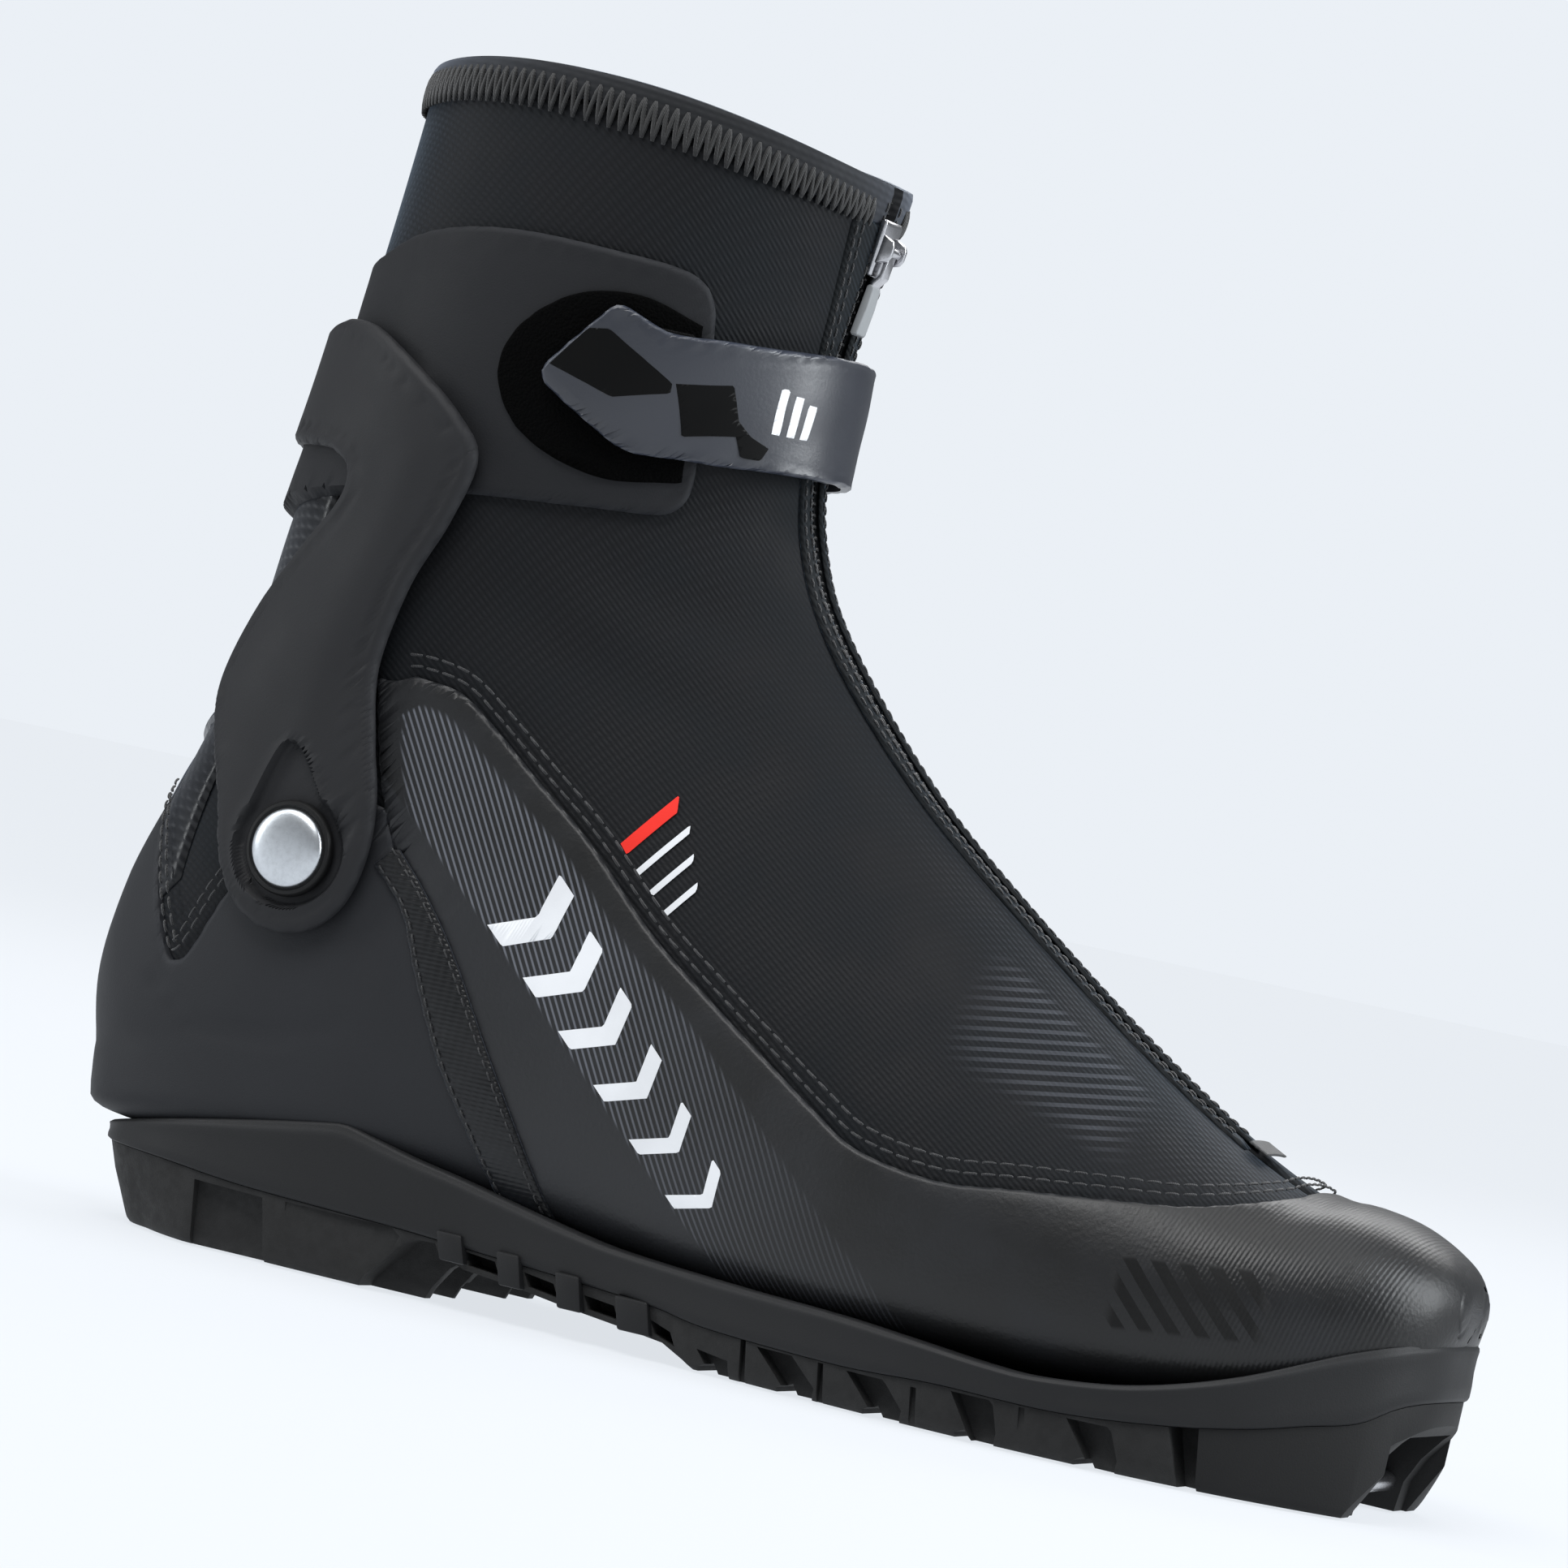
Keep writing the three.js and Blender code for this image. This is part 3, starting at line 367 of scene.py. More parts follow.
def panel(name, loop, inner, outer, edge=0.8, step=(0.18, 0.07), relief=None, seam=None,
          spacing=1.3, floor=0.3, guides=None):
    """A thick piece of the last's surface inside a loop of (s, phi), with rounded edges.
    seam(s, phi) marks where its border closes on itself, and has no edge. Guides are more
    points for the mesh, along a sharp change of its relief."""
    loop = resample(loop, spacing)
    if area_of(loop) < 0:
        loop = loop[::-1]
    fine = resample(loop, 0.4)
    if seam is not None:
        fine = fine[~seam(fine[:, 0], fine[:, 1])]
    fine_spots = surface(fine[:, 0], fine[:, 1])
    rings = [inset(loop, edge * k) for k in (0.1, 0.3, 0.6, 1.0)]
    rings = [r if seam is None else r[~seam(loop[:, 0], loop[:, 1])] for r in rings]
    low, high = loop.min(0), loop.max(0)
    gs, gp = np.meshgrid(np.arange(low[0], high[0], step[0]), np.arange(low[1], high[1], step[1]),
                         indexing="ij")
    gp = gp + (np.arange(gp.shape[0]) % 2)[:, None] * step[1] / 2
    grid = np.stack([gs.ravel(), gp.ravel()], -1)
    grid = grid[inside(loop, grid)]
    keep = distances(surface(grid[:, 0], grid[:, 1]), fine_spots) > edge * 1.35
    grid = grid[keep]
    extra = np.vstack(rings)
    extra = extra[inside(loop, extra)]
    if guides is not None:
        guides = guides[inside(loop, guides)]
        guide_spots = surface(guides[:, 0], guides[:, 1])
        guides = guides[distances(guide_spots, fine_spots) > edge]
        guide_spots = surface(guides[:, 0], guides[:, 1])
        grid = grid[distances(surface(grid[:, 0], grid[:, 1]), guide_spots) > 0.7]
        extra = np.vstack([extra, guides])
    points = np.vstack([loop, extra, grid])
    scaled = [Vector((s * S_SCALE, p * P_SCALE)) for s, p in points]
    n = len(loop)
    got = delaunay_2d_cdt(scaled, [(i, (i + 1) % n) for i in range(n)], [], 1, 1e-5)
    flat = np.array([tuple(v) for v in got[0]]) / (S_SCALE, P_SCALE)
    tris = np.array(got[2])
    s, phi = flat[:, 0], flat[:, 1]
    spots = surface(s, phi)
    away = distances(spots, fine_spots)
    t = np.clip(away / edge, 0, 1)
    lift = floor + (1 - floor) * np.sqrt(np.clip(1 - (1 - t) ** 2, 0, 1))
    high_offset = inner + (outer - inner) * lift
    if relief is not None:
        high_offset = high_offset + relief(s, phi, spots, away) * t
    n3 = normals(s, phi)
    top = spots + n3 * high_offset[:, None]
    bottom = spots + n3 * inner
    count = len(top)
    used = {}
    for a, b, c in tris:
        for e in ((a, b), (b, c), (c, a)):
            used[e] = used.get(e, 0) + 1
    faces = [tuple(f) for f in tris] + [tuple(f[::-1] + count) for f in tris]
    for (a, b) in used:
        if (b, a) in used:
            continue
        if seam is not None and seam(s[[a, b]], phi[[a, b]]).all():
            continue
        faces.append((b, a, a + count, b + count))
    obj = make(name, np.vstack([top, bottom]), faces, extra={"edge": np.tile(away, 2)})
    if seam is not None:
        edit(obj, lambda bm: bmesh.ops.remove_doubles(bm, verts=bm.verts, dist=2e-5))
    return orient(obj)


# ---------------------------------------------------------------- thread
def tube(verts, faces, line, side, up, radii, sides):
    """Adds a round tube with flat ends along a line to the lists of vertices and faces."""
    base = len(verts)
    for q, radius in enumerate(radii):
        for w in range(sides):
            a = 2 * PI * w / sides
            verts.append(line[q] + radius * (side[q] * math.cos(a) + up[q] * math.sin(a)))
    last = base + (len(line) - 1) * sides
    for q in range(base, last, sides):
        for w in range(sides):
            a, b = q + w, q + (w + 1) % sides
            faces.append((a, b, b + sides, a + sides))
    faces.append([base + w for w in range(sides)][::-1])
    faces.append([last + w for w in range(sides)])


def thread(name, lines, stitch=3.0, gap=0.9, radius=0.27, height=0.2, sides=6):
    """Sewn stitches along lines, each line a list of points and the normals there."""
    verts, faces = [], []
    profile = np.array([[-0.5, -0.28], [-0.38, 0.35], [-0.15, 0.8], [0.15, 0.8], [0.38, 0.35],
                        [0.5, -0.28]])
    for points, normal in lines:
        points, normal = np.asarray(points), np.asarray(normal)
        run = np.concatenate([[0], np.cumsum(np.linalg.norm(np.diff(points, axis=0), axis=1))])
        count = int(run[-1] // (stitch + gap))
        for k in range(count):
            centre = (k + 0.5) * (stitch + gap)
            at = centre + profile[:, 0] * stitch
            p = np.stack([np.interp(at, run, points[:, i]) for i in range(3)], -1)
            m = np.stack([np.interp(at, run, normal[:, i]) for i in range(3)], -1)
            m /= np.linalg.norm(m, axis=1, keepdims=True)
            p = p + m * (profile[:, 1:] * height + 0.02)
            along = np.gradient(p, axis=0)
            along /= np.linalg.norm(along, axis=1, keepdims=True)
            side = np.cross(along, m)
            up = np.cross(side, along)
            radii = [radius * 0.75, *[radius] * (len(p) - 2), radius * 0.75]
            tube(verts, faces, p, side, up, radii, sides)
    return orient(make(name, np.array(verts), faces))


def seam_line(line, offset):
    """Points and normals for thread along a line of (s, phi)."""
    line = np.asarray(line)
    return skin(line[:, 0], line[:, 1], np.full(len(line), float(offset))), normals(*line.T)


# ---------------------------------------------------------------- materials
class Nodes:
    """A short way to write a shader's node tree."""

    def __init__(self, name):
        self.material = bpy.data.materials.new(name)
        self.material.use_nodes = True
        self.tree = self.material.node_tree
        self.bsdf = self.tree.nodes["Principled BSDF"]

    def new(self, kind, inputs=None, **settings):
        node = self.tree.nodes.new(kind)
        for key, value in settings.items():
            setattr(node, key, value)
        for key, value in (inputs or {}).items():
            self.put(node.inputs[key], value)
        return node

    def put(self, socket, value):
        if isinstance(value, bpy.types.NodeSocket):
            self.tree.links.new(value, socket)
        else:
            socket.default_value = value

    def math(self, operation, a, b=0.0, c=0.0, clamp=False):
        node = self.new("ShaderNodeMath", {0: a, 1: b, 2: c}, operation=operation,
                        use_clamp=clamp)
        return node.outputs[0]

    def vmath(self, operation, a, b=(0, 0, 0)):
        node = self.new("ShaderNodeVectorMath", {0: a, 1: b}, operation=operation)
        return node.outputs["Value" if operation in ("DOT_PRODUCT", "LENGTH") else "Vector"]

    def ramp(self, value, low, high, from_=0.0, to=1.0):
        node = self.new("ShaderNodeMapRange",
                        {"Value": value, "From Min": low, "From Max": high, "To Min": from_,
                         "To Max": to}, interpolation_type="SMOOTHSTEP")
        return node.outputs[0]

    def mix(self, factor, a, b):
        node = self.new("ShaderNodeMix", data_type="RGBA")
        self.put(node.inputs[0], factor)
        self.put(node.inputs[6], a)
        self.put(node.inputs[7], b)
        return node.outputs[2]

    def noise(self, scale, detail=3.0, vector=None, rough=0.5):
        inputs = {"Scale": scale, "Detail": detail, "Roughness": rough}
        inputs["Vector"] = self.rest if vector is None else vector
        return self.new("ShaderNodeTexNoise", inputs).outputs[0]

    @property
    def rest(self):
        """The piece's own place in drawn mm, which doesn't change as it bends."""
        if not hasattr(self, "_rest"):
            self._rest = self.new("ShaderNodeAttribute", attribute_name="rest").outputs["Vector"]
        return self._rest

    def attribute(self, name):
        return self.new("ShaderNodeAttribute", attribute_name=name).outputs["Fac"]

    def xyz(self):
        node = self.new("ShaderNodeSeparateXYZ", {0: self.rest})
        return node.outputs

    def wave(self, direction, period, sharp=1.0):
        """0 to 1 stripes across a direction, with a period in mm."""
        run = self.math("MULTIPLY", self.vmath("DOT_PRODUCT", self.rest, direction),
                        2 * PI / period)
        value = self.math("MULTIPLY_ADD", self.math("SINE", run), 0.5, 0.5)
        return value if sharp == 1.0 else self.math("POWER", value, sharp)

    def finish(self, color, roughness, height=None, bump=0.0, **more):
        put = self.put
        put(self.bsdf.inputs["Base Color"], color)
        put(self.bsdf.inputs["Roughness"], roughness)
        for key, value in more.items():
            put(self.bsdf.inputs[key.replace("_", " ")], value)
        if height is not None:
            node = self.new("ShaderNodeBump", {"Strength": 1.0, "Distance": bump * MM,
                                               "Height": height})
            put(self.bsdf.inputs["Normal"], node.outputs[0])
        return self.material


def grey(value, tint=(1.0, 1.0, 1.0)):
    return (value * tint[0], value * tint[1], value * tint[2], 1.0)


def dark(value, tint=(1.0, 1.0, 1.0)):
    return grey(value * DEPTH, tint)


DEPTH = 0.42  # how dark the black parts are
COOL = (0.92, 0.98, 1.14)
NAVY = (0.72, 0.88, 1.35)
NEUTRAL = (0.98, 1.0, 1.04)


def softshell_material(name, base=0.020, sheen=0.16, tint=COOL):
    n = Nodes(name)
    twill = n.wave((0.55, 0.45, 0.70), 0.95)
    cross = n.wave((-0.70, 0.45, 0.55), 1.9)
    weave = n.math("MULTIPLY", twill, n.math("MULTIPLY_ADD", cross, 0.5, 0.5))
    cloud = n.noise(0.045, 4.0)
    fine = n.noise(1.7, 2.0)
    color = n.mix(n.math("MULTIPLY", weave, 0.7), dark(base * 0.72, tint), dark(base * 1.5, tint))
    color = n.mix(n.ramp(cloud, 0.35, 0.75, 0, 0.35), color, dark(base * 1.7, (0.8, 1.05, 1.25)))
    height = n.math("ADD", weave, n.math("MULTIPLY", fine, 0.8))
    rough = n.ramp(cloud, 0.3, 0.7, 0.62, 0.78)
    return n.finish(color, rough, height, 0.10, Sheen_Weight=sheen, Sheen_Roughness=0.35,
                    Sheen_Tint=(0.55, 0.75, 1.0, 1.0), Specular_IOR_Level=0.16)


def rubbery_material(name, base, rough, tint=NEUTRAL, grain=0.05, edge_highlight_strength=0.5, edge_mm=1.1,
                     grain_size=2.6, specular=0.26):
    """Matte moulded plastic or rubber: fine grain, and a painted highlight that makes its edges
    paler.
    """
    n = Nodes(name)
    fine = n.noise(grain_size, 3.0)
    broad = n.noise(0.05, 4.0)
    edge = n.attribute("edge")
    # painted highlight: the colour turns paler, unevenly, within edge_mm of the piece's edge
    edge_highlight = n.math("MULTIPLY", n.ramp(edge, 0.0, edge_mm, 1.0, 0.0),
                 n.ramp(broad, 0.3, 0.7, 0.6, 1.0))
    color = n.mix(n.ramp(broad, 0.3, 0.75, 0.0, 0.6), dark(base, tint), dark(base * 1.25, tint))
    color = n.mix(n.math("MULTIPLY", edge_highlight, edge_highlight_strength), color, dark(base * 2.6, tint))
    roughness = n.math("ADD", n.ramp(broad, 0.3, 0.7, rough - 0.05, rough + 0.05),
                       n.math("MULTIPLY", fine, 0.06))
    return n.finish(color, roughness, fine, grain, Specular_IOR_Level=specular)


def tread_material():
    n = Nodes("tread_rubber")
    fine = n.noise(3.2, 4.0)
    scuff = n.noise(0.35, 5.0, rough=0.7)
    z = n.xyz()[2]
    low = n.ramp(z, 0.0, 3.0, 1.0, 0.0)
    color = n.mix(n.math("MULTIPLY", low, n.ramp(scuff, 0.4, 0.65)), dark(0.040), dark(0.075))
    return n.finish(color, n.ramp(scuff, 0.3, 0.7, 0.62, 0.82), fine, 0.08,
                    Specular_IOR_Level=0.25)


def metal_material(name, color, rough, brushed=0.0):
    n = Nodes(name)
    fine = n.noise(4.0, 3.0)
    scratch = n.noise(0.8, 4.0, rough=0.7)
    tone = n.mix(n.ramp(scratch, 0.35, 0.75, 0.0, 0.5), color,
                 tuple(c * 0.72 for c in color[:3]) + (1.0,))
    roughness = n.math("ADD", n.math("MULTIPLY", fine, 0.12), rough - 0.04)
    return n.finish(tone, roughness, fine, 0.012 + brushed, Metallic=1.0)


def webbing_material(name, base, tint, rough, sheen=0.3, period=1.1, across=(0, 0, 1),
                     along=(0.75, 0.6, 0)):
    n = Nodes(name)
    rib = n.wave(across, period)
    cross = n.wave(along, period * 1.5)
    weave = n.math("MULTIPLY", rib, n.math("MULTIPLY_ADD", cross, 0.55, 0.45))
    broad = n.noise(0.06, 3.0)
    color = n.mix(weave, dark(base * 0.75, tint), dark(base * 1.35, tint))
    color = n.mix(n.ramp(broad, 0.35, 0.75, 0, 0.4), color, dark(base * 1.5, tint))
    return n.finish(color, n.ramp(broad, 0.3, 0.7, rough - 0.05, rough + 0.07), weave, 0.09,
                    Sheen_Weight=sheen, Sheen_Tint=(0.7, 0.8, 1.0, 1.0), Specular_IOR_Level=0.3)


def fuzzy_material(name, base, tint=NEUTRAL, size=2.2, bump=0.35, sheen=0.12):
    """Loop pile, felt and brushed lining."""
    n = Nodes(name)
    loops = n.new("ShaderNodeTexVoronoi", {"Vector": n.rest, "Scale": size}).outputs["Distance"]
    pile = n.noise(size * 1.6, 5.0, rough=0.7)
    height = n.math("ADD", n.math("MULTIPLY", loops, -1.0), pile)
    color = n.mix(pile, dark(base * 0.6, tint), dark(base * 1.6, tint))
    return n.finish(color, 0.93, height, bump, Sheen_Weight=sheen, Specular_IOR_Level=0.06)


def thread_material(name, base, tint=NEUTRAL, rough=0.5):
    n = Nodes(name)
    ply = n.wave((0.6, 0.5, 0.62), 0.35)
    color = n.mix(ply, dark(base * 0.7, tint), dark(base * 1.3, tint))
    return n.finish(color, rough, ply, 0.05, Sheen_Weight=0.2)


def overlay_material():
    """Satin synthetic, with fine slanted lines printed below its top edge and pale and dark
    dashes towards the toe."""
    n = Nodes("overlay_synthetic")
    x, _, z = n.xyz()
    grain = n.noise(1.5, 4.0, rough=0.6)
    broad = n.noise(0.05, 4.0)
    edge = n.attribute("edge")
    pore = n.new("ShaderNodeTexVoronoi", {"Vector": n.rest, "Scale": 0.9}).outputs["Distance"]
    base = n.mix(n.ramp(broad, 0.35, 0.7), dark(0.0165, NEUTRAL), dark(0.0235, COOL))
    # fine slanted lines in a leaning band, which fade towards the toe
    line = n.ramp(n.wave((0.859, 0.0, 0.513), 1.25), 0.5, 0.95)
    upper = n.math("ADD", n.math("MULTIPLY", x, 0.83), n.math("SUBTRACT", z, 61.0))
    lower = n.math("ADD", n.math("MULTIPLY", x, 0.88), n.math("SUBTRACT", z, 29.5))
    band_ = n.math("MULTIPLY", n.ramp(upper, 0.0, 1.6, 1.0, 0.0), n.ramp(lower, -0.6, 0.6))
    fade = n.ramp(x, -45.0, 34.0, 1.0, 0.16)
    stripes = n.math("MULTIPLY", n.math("MULTIPLY", line, fade), band_)
    stripes = n.math("MULTIPLY", stripes, n.ramp(edge, 4.6, 6.0))
    color = n.mix(n.math("MULTIPLY", stripes, 0.8), base, grey(0.155, COOL))
    color = n.mix(n.math("MULTIPLY", n.ramp(lower, -0.5, 0.5, 1.0, 0.0), 0.5), color,
                  grey(0.020, COOL))
    # ribs across the toe
    rib = n.wave((0.97, 0.0, -0.24), 0.85)
    toe = n.math("MULTIPLY", n.ramp(x, 84.0, 120.0), n.ramp(x, 146.0, 139.0))
    # dark slanted dashes beside the toe
    cell2 = n.math("FRACT", n.math("MULTIPLY", n.math("MULTIPLY_ADD", z, 0.9, x), 1 / 5.6))
    deep = n.math("MULTIPLY", n.math("LESS_THAN", cell2, 0.5),
                  n.math("MULTIPLY", n.ramp(x, 91.0, 94.0), n.ramp(x, 122.0, 118.0)))
    strip_z = n.math("ABSOLUTE", n.math("SUBTRACT", z, n.math("MULTIPLY_ADD", x, 0.10, 24.0)))
    deep = n.math("MULTIPLY", deep, n.ramp(strip_z, 6.2, 7.4, 1.0, 0.0))
    color = n.mix(n.math("MULTIPLY", deep, 0.95), color, grey(0.0012, NEUTRAL))
    # painted highlight: paler within 0.9 mm of the overlay's edge
    color = n.mix(n.ramp(edge, 0.0, 0.9, 0.5, 0.0), color, dark(0.05, COOL))
    height = n.math("ADD", n.math("MULTIPLY", pore, 0.5), grain)
    height = n.math("ADD", height, n.math("MULTIPLY", n.math("MULTIPLY", rib, toe), 0.8))
    rough = n.math("SUBTRACT", n.ramp(broad, 0.3, 0.7, 0.42, 0.5), n.math("MULTIPLY", toe, 0.10))
    rough = n.math("MULTIPLY_ADD", deep, 0.5, rough, clamp=True)
    return n.finish(color, rough, height, 0.07, Specular_IOR_Level=0.35, Coat_Weight=0.1,
                    Coat_Roughness=0.3)


def softshell_printed():
    """The upper's softshell, with fine level lines printed beside the zip towards the toe."""
    material = softshell_material("softshell_upper", 0.019)
    n = Nodes.__new__(Nodes)
    n.material, n.tree = material, material.node_tree
    n.bsdf = n.tree.nodes["Principled BSDF"]
    x, y, _ = n.xyz()
    line = n.ramp(n.wave((-0.16, 0.0, 0.987), 2.0), 0.62, 0.72)
    across = n.math("MULTIPLY", n.ramp(y, -38.0, -33.0), n.ramp(y, -15.0, -19.0))
    along = n.math("MULTIPLY", n.ramp(x, 44.0, 56.0), n.ramp(x, 88.0, 78.0))
    mask = n.math("MULTIPLY", n.math("MULTIPLY", across, along), line)
    color = n.bsdf.inputs["Base Color"].links[0].from_socket
    n.put(n.bsdf.inputs["Base Color"], n.mix(n.math("MULTIPLY", mask, 0.5), color,
                                             grey(0.075, COOL)))
    return material


MAT = {
    "softshell": softshell_printed(),
    "collar": softshell_material("softshell_collar", 0.019, 0.2, (0.85, 1.0, 1.12)),
    "overlay": overlay_material(),
    "counter": rubbery_material("moulded_counter", 0.037, 0.56, COOL, 0.05, 0.35, 1.6),
    "wrap": rubbery_material("moulded_wrap", 0.023, 0.66, (0.92, 0.98, 1.16), 0.05, 0.5, 1.5),
    "yoke": rubbery_material("moulded_yoke", 0.032, 0.58, (0.95, 0.98, 1.10), 0.03, 0.25, 2.0),
    "sole": rubbery_material("sole_frame", 0.027, 0.55, (0.97, 1.0, 1.07), 0.04, 0.4, 1.0),
    "toe_block": rubbery_material("toe_block", 0.017, 0.6, NEUTRAL, 0.04, 0.4, 1.0),
    "tread": tread_material(),
    "tape": webbing_material("seam_tape_satin", 0.012, NEUTRAL, 0.38, 0.1, 0.9),
    "hem": webbing_material("collar_hem_binding", 0.012, NEUTRAL, 0.7, 0.3, 1.4, (0.1, 0.1, 1),
                            (0.75, 0.6, 0)),
    "zip_tape": webbing_material("zip_tape", 0.012, NEUTRAL, 0.7, 0.2, 0.8, (0.6, 0, 0.8),
                                 (0, 1, 0)),
    "strap": rubbery_material("strap_satin", 0.040, 0.36, NAVY, 0.03, 0.8, 0.9, 1.4, 0.75),
    "loop": webbing_material("pull_loop", 0.014, NAVY, 0.5, 0.3, 1.0, (0.3, 0, 1), (0, 1, 0)),
    "pad": fuzzy_material("loop_pad", 0.0012, NEUTRAL, 1.6, 0.30, 0.0),
    "hook": fuzzy_material("hook_pad", 0.010, NEUTRAL, 2.6, 0.3, 0.05),
    "lining": fuzzy_material("brushed_lining", 0.030, COOL, 0.9, 0.25, 0.2),
    "footbed": fuzzy_material("footbed_felt", 0.045, COOL, 1.2, 0.2, 0.2),
    "thread": thread_material("thread_dark", 0.020, COOL),
    "thread_black": thread_material("thread_black", 0.010, NEUTRAL, 0.6),
    "coil": rubbery_material("zip_coil", 0.020, 0.35, NEUTRAL, 0.02, 0.0),
    "cap": metal_material("satin_metal", (0.62, 0.65, 0.68, 1), 0.32),
    "steel": metal_material("polished_steel", (0.55, 0.55, 0.57, 1), 0.2),
    "ring": rubbery_material("pivot_ring", 0.012, 0.45, NEUTRAL, 0.02, 0.0),
    "pull": rubbery_material("pull_rubber", 0.26 / DEPTH, 0.42, (0.96, 1.0, 1.03), 0.02, 0.1),
    "lace": thread_material("lace_braid", 0.10, COOL, 0.75),
    "board": fuzzy_material("pressed_board", 0.13, (1.15, 1.0, 0.8), 1.2, 0.1, 0.0),
    "accent": rubbery_material("printed_accent", 0.5 / DEPTH, 0.45, (1.55, 0.055, 0.035),
                               0.02, 0.0),
    "glossy": webbing_material("glossy_fabric", 0.016, COOL, 0.28, 0.05, 1.8, (0.4, 0.5, 0.8),
                               (0.5, -0.6, 0.6)),
    "gloss_print": rubbery_material("printed_gloss", 0.003, 0.4, NEUTRAL, 0.01, 0.0, 1.1, 2.6,
                                    0.12),
    "print": rubbery_material("printed_pale", 0.72 / DEPTH, 0.5, (0.98, 1.0, 1.03), 0.02, 0.0),
}


# ---------------------------------------------------------------- side-view outlines
PIVOT = (-95.0, 82.0)
FEATHER = smooth([
    (-160, 14.5), (-140, 18.6), (-126, 21.4), (-113, 24.0), (-98, 26.8), (-87, 28.8),
    (-79, 30.2), (-74.5, 30.7), (-70, 29.8), (-59, 27.3), (-48, 25.4), (-36, 23.1), (-21, 20.3),
    (-8, 18.8), (18, 17.8), (40, 17.3), (56, 16.2), (72, 14.9),
    (83, 14.8), (100, 17), (118, 22.5), (137, 31.5), (150, 36), (165, 39)])
PARTING = smooth([
    (-160, 16), (-120, 15.5), (-95, 14), (-60, 13), (-40, 12), (-18, 11), (0, 10), (13, 8.5),
    (42, 8), (63, 9), (87, 9), (108, 11), (122, 13.5), (131, 16), (139, 18.2), (147, 23.5),
    (165, 28)])
SEAM = smooth([(-88, 128), (-81, 100), (-74, 85), (-63, 69), (-53, 50), (-43, 32), (-33, 18),
               (-30, 12)])
OVERLAY_TOP = smooth([
    (-84, 121), (-78, 120.3), (-68, 119), (-60, 114), (-48, 105), (-34, 95), (-17, 80.5),
    (-1, 70), (14, 61), (26, 54), (37, 48.5), (54, 46), (70, 47.5), (86, 49), (100, 50.5),
    (112, 54), (124, 60)])
HEM = smooth([(20, 221), (-6, 224), (-14, 227), (-34, 232.5), (-50, 236), (-72, 239), (-88, 239.5),
              (-101, 238.5), (-125, 235)])


def level(line, x):
    return np.interp(x, line[:, 0], line[:, 1])


HEM_PHI = np.linspace(0, PI, 61)
_track = np.linspace(17, RIM, 161)
HEM_S = {}
for _side in (-1, 1):
    found = []
    for _phi in HEM_PHI:
        p = surface(_track, _side * _phi)
        gap = p[:, 2] - np.interp(p[:, 0], HEM[::-1, 0], HEM[::-1, 1])
        found.append(np.interp(0.0, gap, _track))
    HEM_S[_side] = np.array(found)


def hem_s(phi):
    phi = (np.asarray(phi, float) + PI) % (2 * PI) - PI
    outer = np.interp(np.abs(phi), HEM_PHI, HEM_S[-1])
    inner = np.interp(np.abs(phi), HEM_PHI, HEM_S[1])
    return np.where(phi < 0, outer, inner)


def band(name, low, high, start, stop, rows, columns, inner, outer, relief=None, edge=0.7):
    """A sheet between two rows of the last and between two angles, which may each vary."""
    t = np.linspace(0, 1, rows)[:, None]
    k = np.linspace(0, 1, columns)[None, :]
    guess = low(0.0) + (high(PI / 2) - low(0.0)) * t + 0 * k
    phi = start(guess) + (stop(guess) - start(guess)) * k
    s = low(phi) + (high(phi) - low(phi)) * t
    phi = start(s) + (stop(s) - start(s)) * k
    spots, n = surface(s, phi), normals(s, phi)
    border = np.vstack([spots[0], spots[-1], spots[:, 0], spots[:, -1]])
    away = distances(spots.reshape(-1, 3), border).reshape(s.shape)
    round_ = np.sqrt(np.clip(1 - (1 - np.clip(away / edge, 0, 1)) ** 2, 0, 1))
    lift = inner + (outer - inner) * (0.25 + 0.75 * round_)
    if relief is not None:
        lift = lift + relief(s, phi, spots) * np.clip(away / 3, 0, 1)
    return thick_grid(name, spots + n * lift[..., None], spots + n * inner, away)


def bump_at(spots, centre, size):
    d = (spots - np.array(centre)) / np.array(size)
    return np.exp(-(d ** 2).sum(-1))


def wrinkles(s, phi, spots):
    """Soft folds across the ankle, and a little fullness over the instep."""
    x, z = spots[..., 0], spots[..., 2]
    fold = np.sin((z * 0.92 + x * 0.40) / 3.4 + 0.6 * np.sin(x / 9)) * 0.42
    where = bump_at(spots, (-30, 0, 138), (34, 90, 15)) + bump_at(spots, (-105, 0, 118),
                                                                   (16, 60, 18))
    slow = np.sin(x / 17 + z / 23) * 0.25
    return fold * where + slow - 0.2


ZIP_HALF = 2.3
zip_phi = lambda side: (lambda s: phi_at(s, side * ZIP_HALF))
for side, tag in ((-1, "lateral"), (1, "medial")):
    skin_ = band("upper_skin_" + tag, lambda p: 2.6 + 0 * p, hem_s, zip_phi(side),
                 lambda s, side=side: side * PI + 0 * s, 150, 84, -1.3, 0.0, wrinkles)
    finish_piece(skin_, MAT["softshell"], "softshell", "flex",
                 *(("softshell_lateral", "vamp_shell") if side < 0 else
                   ("softshell_medial", "collar_liner")))

lining = band("lining_sock", lambda p: 3.0 + 0 * p, hem_s,
              lambda s: phi_at(s, 9.0), lambda s: 2 * PI + phi_at(s, -9.0), 90, 96, -2.7, -1.5,
              edge=0.4)
finish_piece(lining, MAT["lining"], "lining", "flex", "achilles_bellows")

